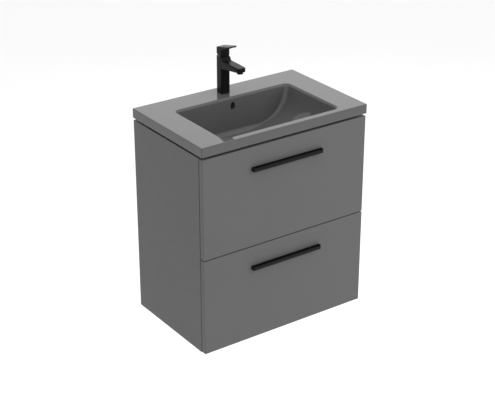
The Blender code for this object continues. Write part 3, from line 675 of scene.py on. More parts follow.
class VANITY_OT_build_basin(bpy.types.Operator):
    """Make the glazed slab basin with its sunk bowl, overflow hole and drain"""

    bl_idname = "vanity.build_basin"
    bl_label = "Build Basin"

    def execute(self, context):
        bowl = BowlShape()
        basin = skin("glazed_basin", basin_rings(bowl), loop=True)
        duct_y = bowl.back + sizes().ceramic + 0.014
        housing = board("duct_housing", (-0.020, bowl.drain_y, bowl.floor - 0.0245),
                        (0.020, duct_y, bowl.top - sizes().ceramic + 0.003), 0.004, "y")
        carve(housing, self.cavity(bowl))
        carve(basin, housing, "UNION")
        self.cut_overflow(basin, bowl)
        tap_y = middle_of("tap_stud")[1]
        bore(basin, (0, tap_y, bowl.top - 0.04), (0, tap_y, bowl.top + PAST), 0.0172)
        place(basin, "cabinet", "glazed_ceramic", replaces=["basin"], angle=38.0)
        return {"FINISHED"}

    def cavity(self, bowl):
        """The bowl's hollow, grown to the middle of the ceramic, and the drain below it."""
        depths = np.concatenate([[-0.01], np.linspace(0.0, bowl.depth, 24)])
        cavity = skin("cavity_tool", [bowl.section(depth, sizes().ceramic / 2) for depth in depths])
        pipe = rod("drain_tool", bowl.drain - (0, 0, 0.05), bowl.drain, 0.028)
        return carve(cavity, pipe, "UNION")

    def cut_overflow(self, basin, bowl):
        """An upright elliptical hole whose lip rolls inwards, and the duct behind it."""
        depth, half_wide, half_tall, roll = 0.030, 0.0085, 0.0130, 0.0008
        surface = bowl.back - bowl.back_slope * depth
        around = np.radians(np.arange(0.0, 360.0, 7.5))

        def flat(inset):
            return np.column_stack([(half_wide - inset) * np.cos(around),
                                    bowl.top - depth + (half_tall - inset) * np.sin(around)])

        lip = [(-2 * roll, surface - 0.006), (-roll, surface - 0.0003),
               *((-inset, surface + rise) for inset, rise in quarter(roll, 5, 15.0)),
               (0.0, surface + 0.0125)]
        carve(basin, stack("overflow_tool", flat, lip, axes="xzy"))
        duct = surface + sizes().ceramic
        carve(basin, board("duct_tool", (-0.0095, duct, bowl.floor - 0.018),
                           (0.0095, duct + 0.008, bowl.top - 0.018), 0.002, "y"))


# ---------------------------------------------------------------------------------------------
# Tap


def column_outline(centre_y, half, corner):
    """A square's outline with quarter circles at its corners, for any inset."""
    return lambda inset: outline(half - inset, centre_y + half - inset, centre_y - half + inset,
                                 max(corner - inset, 0.0006), steps=10)


def swept_sections(name, values):
    """Rounded rectangles across Y. values holds one row (y, half width, top, bottom, radius) for
    each section, and flat caps close both ends."""
    return skin(name, [at_height(outline(half, top, bottom, radius, 6, 0.0004), y)[:, [0, 2, 1]]
                       for y, half, top, bottom, radius in values])


class TapShape:
    """Sizes of the tap, read from the frame. The deck is where its heights start."""

    def __init__(self):
        low, high = box_of("tap_body")
        self.deck = box_of("basin")[1][2]
        self.half = high[0]
        self.y = high[1] - self.half
        self.bottom = low[2]
        self.column_top = high[2]
        self.tip = low[1]
        self.front = self.y - self.half
        self.spout_top, self.spout_root = self.deck + 0.110, self.deck + 0.0845
        self.blade_under, self.blade_top = self.deck + 0.1440, self.deck + 0.1487
        self.pivot = box_of("tap_spindle")[1][2] - 0.005


class VANITY_OT_build_tap(bpy.types.Operator):
    """Make the tap's column and spout, its lever and the aerator"""

    bl_idname = "vanity.build_tap"
    bl_label = "Build Tap"

    def execute(self, context):
        tap = TapShape()
        self.build_body(tap)
        self.build_lever(tap)
        self.build_aerator()
        self.build_gasket(tap)
        return {"FINISHED"}

    def build_body(self, tap):
        """A square column with softened ends, joined to the spout, then bored for the cartridge,
        the aerator, the fixing stud and the two inlets."""
        corner = sizes().column_corner
        height = tap.column_top - tap.bottom
        profile = [(inset, tap.bottom + rise) for inset, rise in pillow(height, 0.0007, 3)]
        body = stack("tap_column_and_spout", column_outline(tap.y, tap.half, corner), profile)
        carve(body, swept_sections("spout", self.spout_sections(tap)), "UNION")
        bore(body, (0, tap.y, tap.column_top - 0.0250), (0, tap.y, tap.column_top + PAST),
             0.0135, 48)
        low, high = box_of("tap_aerator")
        y = (low[1] + high[1]) / 2
        bore(body, (0, y, low[2] - PAST), (0, y, high[2] + 0.0003), 0.0112, 48)
        for x, radius in ((0.0, 0.0043), (-0.0095, 0.0045), (0.0095, 0.0045)):
            bore(body, (x, tap.y, tap.bottom - PAST), (x, tap.y, tap.bottom + 0.0105), radius)
        place(body, "cabinet", "matt_black_metal", replaces=["tap_body"], angle=25.0)

    def spout_sections(self, tap):
        """The top leaves the column along a quarter circle and then runs almost level. The
        underside rises in a straight line, and the tip is rounded from above and from the side."""
        fillet, nose, plan_corner = 0.011, 0.0025, 0.008
        root, tip = tap.y + 0.004, tap.tip
        turn = np.radians(np.linspace(4.0, 90.0, 12))
        close = np.radians(np.linspace(90.0, 0.0, 10))
        y = np.concatenate([
            [root], tap.front - fillet * (1 - np.cos(turn)),
            np.linspace(tap.front - fillet - 0.004, tip + plan_corner + 0.004, 7),
            tip + plan_corner * (1 - np.cos(close)),
        ])
        run = np.clip((tap.front - y) / (tap.front - tip), 0.0, 1.0)
        climb = np.clip((y - tap.front + fillet) / fillet, 0.0, 0.9975)
        shrink = fall(nose, np.clip(1 - (y - tip) / nose, 0.0, 1.0))
        top = tap.spout_top + fall(fillet, climb) - 0.0010 * run - shrink
        bottom = tap.spout_root + 0.0105 * run + 1.2 * shrink
        half = tap.half - 0.0001 - 0.0016 * run**2
        half -= fall(plan_corner, np.clip(1 - (y - tip) / plan_corner, 0.0, 1.0))
        radius = np.minimum(sizes().spout_edge, 0.45 * np.minimum(top - bottom, half))
        return np.column_stack([y, half, top, bottom, radius])

    def build_lever(self, tap):
        """A hub with the column's section under a thin blade that rises towards its tip. The
        hub's lower back edge is cut away, so that the lever can tilt."""
        low, high = box_of("tap_lever")
        corner = sizes().column_corner
        hub_top = tap.blade_top - 0.0002
        profile = [(0.0018, low[2]), (0.0006, low[2] + 0.0003), (0.0, low[2] + 0.0010),
                   (0.0, low[2] + 0.003), (0.0, hub_top - 0.004), (0.0, hub_top)]
        lever = stack("tap_lever_handle", column_outline(tap.y, tap.half, corner), profile)
        carve(lever, swept_sections("blade", self.blade_sections(tap, low, high)), "UNION")
        cut = board("tilt_tool", (-0.03, tap.y, -0.02), (0.03, tap.y + 0.03, 0.0), 0.0002, "z")
        turn = Matrix.Rotation(math.radians(27.0), 4, "X")
        cut.data.transform(Matrix.Translation((0, tap.y, low[2])) @ turn
                           @ Matrix.Translation((0, -tap.y, 0)))
        carve(lever, cut)
        carve(lever, board("socket_tool", (-0.0065, tap.y - 0.0105, tap.pivot - 0.02),
                           (0.0065, tap.y + 0.0105, tap.pivot + 0.0085), 0.0004, "y"))
        bore(lever, (-0.0130, tap.y, tap.pivot), (0.0130, tap.y, tap.pivot), 0.0028)
        place(lever, "tap_lever", "matt_black_metal", replaces=["tap_lever"], angle=25.0)

    def blade_sections(self, tap, low, high):
        """A wedge seen from the side: the top rises at a constant slope. The underside rises
        faster, until the blade is 4.5 mm thick. Quarter circles round its corners in plan and
        soften both ends."""
        back, tip = tap.y + tap.half, low[1]
        corner, tip_corner, soft, thin = sizes().column_corner, 0.005, 0.0009, 0.0045
        turn = np.radians(np.linspace(0.0, 90.0, 8))
        y = np.concatenate([
            back - corner * (1 - np.cos(turn)),
            np.linspace(back - corner - 0.003, tap.front, 5),
            np.linspace(tap.front - 0.003, tip + tip_corner + 0.003, 7),
            tip + tip_corner * (1 - np.cos(turn[::-1])),
        ])
        run = (back - y) / (back - tip)
        past = np.clip((tap.front - y) / (tap.front - tip), 0.0, 1.0)
        shrink = fall(soft, np.clip(1 - np.minimum(back - y, y - tip) / soft, 0.0, 1.0))
        top = tap.blade_top + (high[2] - tap.blade_top) * run - shrink
        bottom = tap.blade_under + (high[2] - thin - tap.blade_under) * past**0.85 + shrink
        half = tap.half - 0.0001 - 0.0006 * past
        half -= fall(corner, np.clip(1 - (back - y) / corner, 0.0, 1.0))
        half -= fall(tip_corner, np.clip(1 - (y - tip) / tip_corner, 0.0, 1.0))
        radius = np.minimum(soft, 0.4 * (top - bottom))
        return np.column_stack([y, half, top, bottom, radius])

    def build_aerator(self):
        """A turned insert: a collar in the spout, a narrower ring below it, and in its mouth the
        stepped face of the stream former."""
        low, high = box_of("tap_aerator")
        centre = (*middle_of("tap_aerator")[:2], low[2])
        tall = high[2] - low[2]
        shell = [(0.0, tall), (0.0108, tall), (0.0109, tall - 0.0004),
                 *mm((10.9, 6.2), (10.7, 5.8), (10.0, 5.4), (9.8, 5.0), (9.8, 0.8), (9.6, 0.2),
                     (9.2, 0.0), (8.8, 0.0), (8.5, 0.5), (8.3, 2.6), (6.0, 2.6), (5.8, 3.4),
                     (4.0, 3.4), (3.8, 2.6), (1.8, 2.6), (1.6, 3.2), (0.0, 3.2))]
        aerator = turned("tap_aerator_ring", shell, centre)
        place(aerator, "cabinet", "valve_plastic", replaces=["tap_aerator"])

    def build_gasket(self, tap):
        """A thin square seal under the column, bored in the middle."""
        low, high = box_of("tap_base_gasket")
        profile = [(0.0, low[2]), (0.0, high[2])]
        gasket = stack("tap_base_seal", column_outline(tap.y, high[0], 0.0045), profile)
        bore(gasket, (0, tap.y, low[2] - PAST), (0, tap.y, high[2] + PAST), 0.0145, 48)
        place(gasket, "cabinet", "rubber", replaces=["tap_base_gasket"])


# ---------------------------------------------------------------------------------------------
# Cabinet and drawers


LEVELS = ("upper", "lower")
# Each side with the way towards the middle along X.
SIDES = {"left": 1, "right": -1}
# Each carcass board with the axis it is thick along.
BOARDS = {
    "left_side_panel": "x", "right_side_panel": "x", "bottom_panel": "z", "hanging_rail": "y",
    "lower_rear_rail": "y", "middle_crossbar": "z",
}


def drill_screw_holes(obj, level, start, end):
    """Bore a piece for both screws of a drawer's pull, between two places along Y."""
    for side in SIDES:
        middle = middle_of(f"{level}_handle_{side}_screw")
        middle[1] = start
        bore(obj, middle, middle + (0, end - start, 0), 0.0023, 16)


class VANITY_OT_build_carcass(bpy.types.Operator):
    """Make the carcass boards with softened edges"""

    bl_idname = "vanity.build_carcass"
    bl_label = "Build Carcass"

    def execute(self, context):
        for node, along in BOARDS.items():
            low, high = box_of(node)
            slot = "grey_lacquer" if node.endswith("side_panel") else "core_board"
            panel = board(node + "_board", low, high, sizes().board_edge, along)
            place(panel, "cabinet", slot, replaces=[node])
        return {"FINISHED"}


class VANITY_OT_build_fronts(bpy.types.Operator):
    """Make the lacquered drawer fronts"""

    bl_idname = "vanity.build_fronts"
    bl_label = "Build Drawer Fronts"

    def execute(self, context):
        for level in LEVELS:
            low, high = box_of(f"{level}_drawer_front")
            front = board(f"{level}_front_panel", low, high, sizes().front_edge, "y")
            drill_screw_holes(front, level, low[1] - PAST, high[1] + PAST)
            place(front, f"{level}_drawer", "grey_lacquer", replaces=[f"{level}_drawer_front"])
        return {"FINISHED"}


class VANITY_OT_build_pulls(bpy.types.Operator):
    """Make the black channel pulls, each a shallow trough that opens upwards"""

    bl_idname = "vanity.build_pulls"
    bl_label = "Build Pulls"

    def execute(self, context):
        for level in LEVELS:
            low, high = box_of(f"{level}_handle")
            pull = stack(f"{level}_channel_pull", self.plan(low, high), self.profile(low, high))
            tool = board("back_tool", (low[0] - PAST, high[1], low[2] - PAST),
                         (high[0] + PAST, high[1] + 0.03, high[2] + PAST), 0.0002, "y")
            carve(pull, tool)
            screw_end = box_of(f"{level}_handle_left_screw")[0][1]
            drill_screw_holes(pull, level, screw_end - 0.001, high[1] + PAST)
            place(pull, f"{level}_drawer", "matt_black_metal", replaces=[f"{level}_handle"])
        return {"FINISHED"}

    def plan(self, low, high):
        """Outline from above: straight sides with rounded front corners. Inside the wall, the
        outline also keeps the wall's thickness at the back."""
        wall = sizes().pull_wall

        def flat(inset):
            share = min(max(inset / wall, 0.0), 1.0)
            back = high[1] + 0.008 * (1 - share) - inset * share
            return outline(high[0] - inset, back, low[1] + inset, max(0.006 - inset, 0.0015), 8)

        return flat

    def profile(self, low, high):
        """From the underside's middle out round the lower edge, up the outer wall, over the lip
        and down into the channel."""
        wall = sizes().pull_wall
        soft, lip = 0.0012, wall / 2
        lower = [(inset, low[2] + rise) for inset, rise in quarter(soft, 4)]
        over = np.radians(np.linspace(0.0, 180.0, 9))
        crown = [(lip * (1 - math.cos(a)), high[2] - 0.6 * lip * (1 - math.sin(a))) for a in over]
        inner = [(wall, low[2] + wall + 0.001), (wall + 0.001, low[2] + wall)]  # a 1 mm chamfer
        return [(0.003, low[2])] + lower + crown + inner + [(0.004, low[2] + wall)]


class VANITY_OT_build_drawer_boxes(bpy.types.Operator):
    """Make the drawers' steel sides and their boards"""

    bl_idname = "vanity.build_drawer_boxes"
    bl_label = "Build Drawer Boxes"

    def execute(self, context):
        for level in LEVELS:
            for side in SIDES:
                self.build_side(level, side)
        for node in ("lower_drawer_back", "left_upper_drawer_back", "right_upper_drawer_back"):
            low, high = box_of(node)
            level = "lower" if node.startswith("lower") else "upper"
            back = board(node + "_board", low, high, sizes().board_edge, "y")
            place(back, f"{level}_drawer", "core_board", replaces=[node])
        low, high = box_of("lower_drawer_bottom")
        bottom = board("lower_drawer_floor", low, high, sizes().board_edge, "z")
        place(bottom, "lower_drawer", "core_board", replaces=["lower_drawer_bottom"])
        self.build_cut_out()
        return {"FINISHED"}

    def build_cut_out(self):
        """The upper drawer's floor with its U notch, and the thin wall round the notch."""
        low, high = box_of("upper_cut_out_guard")
        half, front, wall, bend = high[0], low[1], 0.003, 0.030
        floor_low, floor_high = box_of("upper_drawer_bottom")
        bottom = board("upper_drawer_floor", floor_low, floor_high, sizes().board_edge, "z")
        gap = 0.0003
        notch = outline(half + gap, floor_high[1] + 0.05, front - gap, bend)
        carve(bottom, stack("notch_tool", lambda inset: notch,
                            [(0.0, floor_low[2] - PAST), (0.0, floor_high[2] + PAST)]))
        place(bottom, "upper_drawer", "core_board", replaces=["upper_drawer_bottom"])
        radius = bend - wall / 2
        middle, bend_y = half - bend, front + bend
        turn = np.radians(np.linspace(0.0, 90.0, 13))
        leg = np.linspace(high[1], bend_y + 0.001, 8)
        right = [*zip(np.full(len(leg), half - wall / 2), leg),
                 *zip(middle + radius * np.cos(turn), bend_y - radius * np.sin(turn))]
        path = right + [(0.0, front + wall / 2)] + [(-x, y) for x, y in reversed(right)]
        section = rounded([(-wall / 2, low[2]), (wall / 2, low[2]), (wall / 2, high[2]),
                           (-wall / 2, high[2])], 0.0012)
        guard = carried("cut_out_wall", path, section)
        place(guard, "upper_drawer", "matt_black_metal", replaces=["upper_cut_out_guard"])

    def build_side(self, level, side):
        """A folded steel side: a round top bead, a flat wall, a step over the runner and a
        turned-in foot, carried from the front to the back."""
        node = f"{side}_{level}_drawer_side"
        low, high = box_of(node)
        wide, tall = high[0] - low[0], high[2] - low[2]
        bead = wide / 2
        angles = np.radians(np.linspace(0.0, 180.0, 13))
        top = np.stack([bead + bead * np.cos(angles), -bead + bead * np.sin(angles)], axis=1)
        top += (0.0, tall)
        waist, step_top, step_low = 0.0020, 0.062, 0.056
        left = [(0.0, tall - bead - 0.004), (waist * 0.4, tall - bead - 0.008),
                (waist * 0.4, step_top + 0.004), (0.0, step_top), (0.0, 0.0015), (0.0015, 0.0)]
        right = [(wide - 0.0015, 0.0), (wide, 0.0015), (wide, step_low - 0.004), (wide, step_low),
                 (wide - waist, step_low + 0.004), (wide - waist, tall - bead - 0.008),
                 (wide, tall - bead - 0.004)]
        section = np.concatenate([top, left, right])
        if side == "left":
            section = mirrored(section, wide)
        section = section + (low[0], low[2])
        piece = extrude(f"{node}_profile", section, low[1], high[1], "xzy")
        place(piece, f"{level}_drawer", "drawer_steel", replaces=[node], angle=28.0)


class VANITY_OT_build_waste(bpy.types.Operator):
    """Make the waste: its flange and threaded tube, the click cap, the seals and the nut"""

    bl_idname = "vanity.build_waste"
    bl_label = "Build Waste"

    def execute(self, context):
        drain = BowlShape().drain
        self.build_body(drain)
        cap = mm((0.0, 3.6), (8.0, 3.5), (16.0, 3.1), (22.0, 2.55), (26.0, 2.0), (28.2, 1.4),
                 (28.9, 0.7), (29.0, 0.1), (28.7, -0.2), (5.5, -0.2), (5.0, -0.7), (5.0, -47.5),
                 (4.5, -48.0), (0.0, -48.0))
        plug = turned("waste_click_cap", cap, drain, count=96)
        place(plug, "waste_plug", "waste_cap", replaces=["waste_plug"])
        for node, inner, outer, low, high in (
            ("waste_upper_seal", 0.0230, 0.0290, -0.0040, -0.0023),
            ("waste_lower_seal", 0.0212, 0.0310, -0.0283, -0.0253),
        ):
            section = rounded([(inner, low), (outer, low), (outer, high), (inner, high)], 0.0008)
            seal = turned(f"{node}_ring", section, drain, count=64, loop=True)
            place(seal, "cabinet", "rubber", replaces=[node])
        backnut = nut("waste_backnut", drain, -0.0406, -0.0286, 0.0518, 0.0212)
        place(backnut, "cabinet", "brass", replaces=["waste_nut"])
        return {"FINISHED"}

    def build_body(self, drain):
        """Flange and tube as one turned wall with a thread below, plus the cross arms and the hub
        that guide the cap's stem, and the slots that let the overflow in."""
        profile = [
            *mm((30.0, -0.5), (31.2, -0.6), (31.5, -1.0), (31.5, -1.8), (31.2, -2.0), (20.9, -2.1),
                (20.9, -24.0)),
            *thread_rows(0.0209, -0.025, -0.072, 0.0023),
            *mm((19.9, -73.0), (18.5, -73.0), (18.5, -10.0), (18.5, -4.0), (19.2, -3.0),
                (22.5, -1.3), (26.5, -0.7)),
        ]
        body = turned("waste_flange_and_tube", profile, drain, count=72, loop=True,
                      wave=screw_thread(0.0023, 0.0011))
        x, y, floor = drain
        hub = turned("hub_tool", mm((0.0, -40.0), (8.0, -40.0), (8.5, -39.5), (8.5, -24.5),
                                    (8.0, -24.0), (0.0, -24.0)), drain)
        for across, along in ((0.0192, 0.0012), (0.0012, 0.0192)):
            arm = board("arm_tool", (x - across, y - along, floor - 0.036),
                        (x + across, y + along, floor - 0.026), 0.0004, "z")
            carve(hub, arm, "UNION")
        bore(hub, drain - (0, 0, 0.045), drain - (0, 0, 0.02), 0.0053)
        carve(body, hub, "UNION")
        carve(body, board("window_tool", (x - 0.007, y - 0.03, floor - 0.0190),
                          (x + 0.007, y + 0.03, floor - 0.0115), 0.002, "y"))
        place(body, "cabinet", "chrome", replaces=["waste_body"])


class VANITY_OT_build_trap(bpy.types.Operator):
    """Make the bottle trap: inlet nut, body, ribbed cup, outlet nut and outlet pipe"""

    bl_idname = "vanity.build_trap"
    bl_label = "Build Trap"

    def execute(self, context):
        drain = BowlShape().drain
        self.build_body(drain)
        inlet = mm((21.2, -58.0), (25.0, -58.0), (26.2, -59.0, 0.6), (26.5, -62.0, 1.0),
                   (26.5, -76.0, 1.0), (25.5, -78.5, 0.6), (24.0, -79.0), (16.3, -79.0),
                   (16.3, -75.3), (21.2, -75.3))
        self.fit(turned("trap_inlet_collar", inlet, drain, count=144, loop=True,
                        wave=grip_ribs(18, 0.0018)), "trap_inlet_nut")
        cup = mm((31.0, -141.3), (33.6, -141.3), (34.0, -141.8), (34.0, -150.0, 0.0),
                 (34.0, -154.0, 1.0), (34.0, -182.0, 1.0), (33.8, -186.0, 0.6), (33.0, -189.5),
                 (31.0, -194.5), (27.0, -198.5), (20.0, -200.2), (12.0, -201.0), (0.0, -201.0))
        inside = mm((0.0, -198.0), (12.0, -198.0), (22.0, -197.5), (27.5, -194.5), (30.5, -188.0),
                    (31.0, -182.0))
        self.fit(turned("trap_ribbed_cup", cup + inside, drain, count=192, loop=True,
                        wave=grip_ribs(24, 0.0014)), "trap_cup")
        outlet = drain + (0, 0, -0.124)
        grip = mm((16.4, 43.0), (20.0, 43.0), (21.2, 44.5, 0.6), (21.4, 47.0, 1.0),
                  (21.4, 64.0, 1.0), (20.5, 67.5, 0.6), (18.5, 69.0), (16.4, 69.0))
        self.fit(turned("trap_outlet_collar", grip, outlet, count=96, axis="y", loop=True,
                        wave=grip_ribs(16, 0.0016)), "trap_outlet_nut")
        low, high = box_of("trap_outlet_pipe")
        start, end = low[1] - drain[1], high[1] - drain[1]
        pipe = [(0.0145, start), (0.0157, start), (0.0160, start + 0.0003), (0.0160, end),
                (0.0145, end)]
        self.fit(turned("trap_wall_pipe", pipe, outlet, count=64, axis="y", loop=True),
                 "trap_outlet_pipe")
        return {"FINISHED"}

    def build_body(self, drain):
        """The dip tube and the bell above the cup, with the outlet's threaded stub."""
        outer = 0.034
        profile = [
            *mm((14.5, -69.0), (15.6, -69.0), (16.0, -69.4), (16.0, -106.0), (18.0, -105.0),
                (26.0, -105.3), (30.5, -107.0), (33.0, -110.0), (34.0, -114.0), (34.0, -118.0)),
            *thread_rows(outer, -0.129, -0.140, 0.003),
            *mm((33.6, -141.0), (31.0, -141.0), (31.0, -115.0), (28.5, -110.0), (17.0, -110.0),
                (16.0, -112.0), (16.0, -183.0), (14.5, -183.0)),
        ]
        body = turned("trap_bell_and_dip_tube", profile, drain, count=96, loop=True,
                      wave=screw_thread(0.003, 0.0012))
        outlet = drain + (0, 0, -0.124)
        stub = [(0.0, outer - 0.0025), (0.0155, outer - 0.0025), (0.0155, 0.037),
                *thread_rows(0.0155, 0.038, 0.0545, 0.0025), (0.0150, 0.055), (0.0, 0.055)]
        carve(body, turned("stub_tool", stub, outlet, count=64, axis="y",
                           wave=screw_thread(0.0025, 0.0009)), "UNION")
        bore(body, outlet + (0, outer - 0.008, 0), outlet + (0, 0.065, 0), 0.0130, 48)
        self.fit(body, "trap_body")

    def fit(self, piece, node):
        """Give a trap piece the trap's plastic and its place in the frame."""
        place(piece, "cabinet", "trap_plastic", replaces=[node])


class VANITY_OT_build_hardware(bpy.types.Operator):
    """Make the runners, basin supports, wall hangers, screws and the tap's fixing under the deck"""

    bl_idname = "vanity.build_hardware"
    bl_label = "Build Hardware"

    def execute(self, context):
        for side, inward in SIDES.items():
            self.build_runners(side, inward)
            self.build_support(side, inward)
            self.build_hanger(side, inward)
        for level in LEVELS:
            for side in SIDES:
                self.build_handle_screw(level, side)
        self.build_tap_fixing()
        return {"FINISHED"}

    def screw_row(self, node, inward, wall, height, places, radius, rise):
        """Screw heads at places along Y, on the inside of a channel's web."""
        low, high = box_of(node)
        face = (low[0] if inward > 0 else high[0]) + inward * wall
        return [screw_head("row_screw", (face, y, height), radius, rise, "x", inward)
                for y in places]

    def build_runners(self, side, inward):
        """A wide C channel on the panel and a narrower one that slides in it, with its slot."""
        for level in LEVELS:
            node = f"{side}_{level}_runner_rail"
            low, high = box_of(node)
            rail = channel(f"{node}_channel", low, high, 0.0009, 0.0065, inward)
            heads = self.screw_row(node, inward, 0.0009, (low[2] + high[2]) / 2,
                                   np.linspace(low[1] + 0.025, high[1] - 0.03, 4), 0.0035, 0.0016)
            place(merge(rail, *heads), "cabinet", "zinc_steel", replaces=[node])
            node = f"{side}_{level}_runner_middle"
            low, high = box_of(node)
            middle = channel(f"{node}_channel", low, high, 0.0010, 0.0050, inward)
            place(middle, f"{level}_{side}_runner", "zinc_steel", replaces=[node])

    def build_support(self, side, inward):
        """A pressed steel channel that carries the basin, open towards the middle."""
        node = f"{side}_basin_support"
        low, high = box_of(node)
        support = channel(f"{node}_channel", low, high, 0.0018, 0.007, inward)
        heads = self.screw_row(node, inward, 0.0018, low[2] + 0.018,
                               np.linspace(low[1] + 0.03, high[1] - 0.03, 3), 0.0045, 0.0024)
        place(merge(support, *heads), "cabinet", "support_steel", replaces=[node])

    def build_hanger(self, side, inward):
        """A pressed housing with two adjusting screws in its front, and the hook behind it."""
        node = f"{side}_hanger_bracket"
        low, high = box_of(node)
        outer = low[0] if inward > 0 else high[0]
        across = sorted((outer, outer + inward * 0.015))
        housing = board(f"{node}_housing", (across[0], low[1] + 0.0024, low[2]),
                        (across[1], low[1] + 0.048, high[2]), 0.0018, "x")
        screws = [
            screw_head("adjusting_screw", (outer + inward * 0.0075, low[1] + 0.0024, z), 0.0052,
                       0.0024, "y", -1)
            for z in (low[2] + 0.013, low[2] + 0.035)
        ]
        back, thick = high[1], 0.0028
        hook = rounded([
            (low[1] + 0.046, low[2] + 0.034), (back, low[2] + 0.034), (back, low[2] + 0.006),
            (back - thick, low[2] + 0.006), (back - thick, low[2] + 0.034 - thick),
            (low[1] + 0.046, low[2] + 0.034 - thick),
        ], 0.0012)
        reach = sorted((outer + inward * 0.002, outer + inward * 0.032))
        plate = extrude("hook_plate", hook, reach[0], reach[1], "yzx")
        place(merge(housing, plate, *screws), "cabinet", "zinc_steel", replaces=[node])

    def build_handle_screw(self, level, side):
        """A machine screw through the front board, its domed head inside the drawer."""
        node = f"{level}_handle_{side}_screw"
        low, high = box_of(node)
        centre = (low + high) / 2
        seat = high[1] - 0.0024
        shank = [(0.0, low[1] - seat), (0.0017, low[1] - seat), (0.0020, low[1] - seat + 0.0003),
                 *thread_rows(0.0020, low[1] - seat + 0.0005, -0.0005, 0.0007),
                 (0.0020, 0.0), (0.0, 0.0)]
        place_at = (centre[0], seat, centre[2])
        screw = turned(f"{node}_thread", shank, place_at, count=16, axis="y",
                       wave=screw_thread(0.0007, 0.0004))
        head = screw_head("screw_head", place_at, (high[0] - low[0]) / 2, 0.0024, "y", 1)
        place(merge(screw, head), f"{level}_drawer", "zinc_steel", replaces=[node])

    def build_tap_fixing(self):
        """Stud with its thread, horseshoe washer and nut that clamp the tap to the deck."""
        low, high = box_of("tap_stud")
        centre = ((low[0] + high[0]) / 2, (low[1] + high[1]) / 2, 0.0)
        rows = [(0.0, low[2]), (0.0034, low[2]), *thread_rows(0.0040, low[2] + 0.0006,
                high[2] - 0.0006, 0.00125), (0.0034, high[2]), (0.0, high[2])]
        stud = turned("tap_threaded_stud", rows, centre, count=24,
                      wave=screw_thread(0.00125, 0.0007))
        place(stud, "cabinet", "zinc_steel", replaces=["tap_stud"])
        low, high = box_of("tap_fixing_washer")
        section = rounded([(0.0046, low[2]), (0.0225, low[2]), (0.0225, high[2]),
                           (0.0046, high[2])], 0.0005)
        washer = turned("tap_horseshoe_washer", section, centre, count=72, loop=True)
        carve(washer, board("mouth_tool", (-0.0046, centre[1], low[2] - PAST),
                            (0.0046, centre[1] + 0.03, high[2] + PAST), 0.0003, "z"))
        place(washer, "cabinet", "zinc_steel", replaces=["tap_fixing_washer"])
        low, high = box_of("tap_fixing_nut")
        hexagon = nut("tap_fixing_hexagon", centre, low[2], high[2], 0.0129, 0.0043, 72)
        place(hexagon, "cabinet", "brass", replaces=["tap_fixing_nut"])


class VANITY_OT_finish_frame_pieces(bpy.types.Operator):
    """Give every frame piece that still shows its finish and smooth shading"""

    bl_idname = "vanity.finish_frame_pieces"
    bl_label = "Finish Frame Pieces"

    def execute(self, context):
        for part in frame["record"]["subparts"]:
            dress(frame["nodes"][part["node"]], part["material_slot"], 30.0)
        return {"FINISHED"}


# ---------------------------------------------------------------------------------------------
# Stage


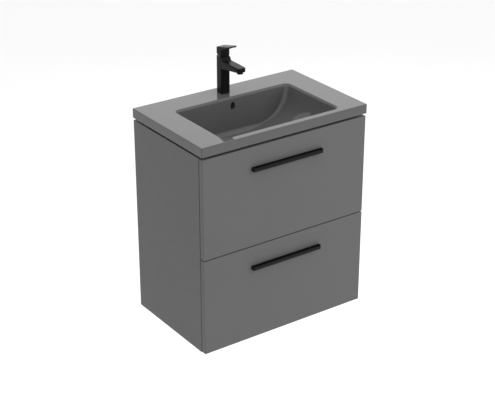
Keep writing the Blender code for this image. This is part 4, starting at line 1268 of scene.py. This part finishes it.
class VANITY_OT_set_stage(bpy.types.Operator):
    """Set the pale floor, the soft lights and the camera"""

    bl_idname = "vanity.set_stage"
    bl_label = "Set Stage"

    def execute(self, context):
        self.build_floor(context)
        self.light_world(context)
        self.add_light("key_softbox", (1.9, -2.8, 1.5), (0, -0.2, -0.2), 2.2, 62.0, False)
        self.add_light("back_softbox", (1.8, 2.4, 1.75), (0, -0.2, 0.15), 3.0, 16.0, True)
        self.add_light("overhead_softbox", (0.0, -0.30, 1.35), (0, -0.25, 0.0), 1.2, 11.0, False)
        self.aim_camera(context)
        return {"FINISHED"}

    def build_floor(self, context):
        """One wide level square."""
        low = box_of("bottom_panel")[0][2] - context.scene.vanity_stage.floor_drop
        reach = 14.0
        corners = [(-reach, -reach, low), (reach, -reach, low), (reach, reach, low),
                   (-reach, reach, low)]
        mesh = bpy.data.meshes.new("studio_floor")
        mesh.from_pydata(corners, [], [(0, 1, 2, 3)])
        floor = bpy.data.objects.new("studio_floor", mesh)
        context.scene.collection.objects.link(floor)
        mesh.materials.append(finish("pale_floor"))

    def light_world(self, context):
        """Even white light from all round."""
        world = bpy.data.worlds.new("studio_world")
        world.use_nodes = True
        background = world.node_tree.nodes["Background"]
        background.inputs["Color"].default_value = (1.0, 1.0, 1.0, 1.0)
        background.inputs["Strength"].default_value = 1.0
        context.scene.world = world
        context.scene.view_settings.view_transform = "Standard"

    def add_light(self, name, where, target, size, power, mirrored):
        """A square soft light. One that isn't mirrored stays out of the reflections."""
        data = bpy.data.lights.new(name, "AREA")
        data.size = size
        data.energy = power
        light = bpy.data.objects.new(name, data)
        light.location = where
        aim = Vector(target) - Vector(where)
        light.rotation_mode = "QUATERNION"
        light.rotation_quaternion = aim.to_track_quat("-Z", "Y")
        light.visible_camera = False
        light.visible_glossy = mirrored
        bpy.context.scene.collection.objects.link(light)

    def aim_camera(self, context):
        """Put the camera at its distance from the target, on the line with its two angles."""
        stage = context.scene.vanity_stage
        target = Vector((-0.0155, -0.2000, -0.1912))
        back = Vector((
            math.sin(stage.azimuth) * math.cos(stage.elevation),
            -math.cos(stage.azimuth) * math.cos(stage.elevation),
            math.sin(stage.elevation),
        ))
        data = bpy.data.cameras.new("camera")
        data.lens = stage.focal
        camera = bpy.data.objects.new("camera", data)
        camera.location = target + back * stage.distance
        camera.rotation_mode = "QUATERNION"
        camera.rotation_quaternion = (-back).to_track_quat("-Z", "Y")
        context.scene.collection.objects.link(camera)
        context.scene.camera = camera


# ---------------------------------------------------------------------------------------------
# Panel and registration


OPERATORS = (
    VANITY_OT_finish_frame_pieces,
    VANITY_OT_build_basin,
    VANITY_OT_build_tap,
    VANITY_OT_build_carcass,
    VANITY_OT_build_fronts,
    VANITY_OT_build_pulls,
    VANITY_OT_build_drawer_boxes,
    VANITY_OT_build_waste,
    VANITY_OT_build_trap,
    VANITY_OT_build_hardware,
    VANITY_OT_set_stage,
)


class VANITY_PT_panel(bpy.types.Panel):
    """Sizes, colours and build steps of the vanity"""

    bl_idname = "VANITY_PT_panel"
    bl_label = "Vanity"
    bl_space_type = "VIEW_3D"
    bl_region_type = "UI"
    bl_category = "Vanity"

    def draw(self, context):
        layout = self.layout
        for group in (context.scene.vanity_sizes, context.scene.vanity_colours,
                      context.scene.vanity_stage):
            for prop in group.bl_rna.properties:
                if prop.identifier not in ("rna_type", "name"):
                    layout.prop(group, prop.identifier)
        for operator in OPERATORS:
            layout.operator(operator.bl_idname)


GROUPS = (VanitySizes, VanityColours, VanityStage)


def register():
    for cls in GROUPS + OPERATORS + (VANITY_PT_panel,):
        bpy.utils.register_class(cls)
    bpy.types.Scene.vanity_sizes = bpy.props.PointerProperty(type=VanitySizes)
    bpy.types.Scene.vanity_colours = bpy.props.PointerProperty(type=VanityColours)
    bpy.types.Scene.vanity_stage = bpy.props.PointerProperty(type=VanityStage)


def unregister():
    del bpy.types.Scene.vanity_sizes
    del bpy.types.Scene.vanity_colours
    del bpy.types.Scene.vanity_stage
    for cls in reversed(GROUPS + OPERATORS + (VANITY_PT_panel,)):
        bpy.utils.unregister_class(cls)


def main():
    register()
    for operator in OPERATORS:
        group, name = operator.bl_idname.split(".")
        getattr(getattr(bpy.ops, group), name)()


if __name__ == "__main__":
    main()
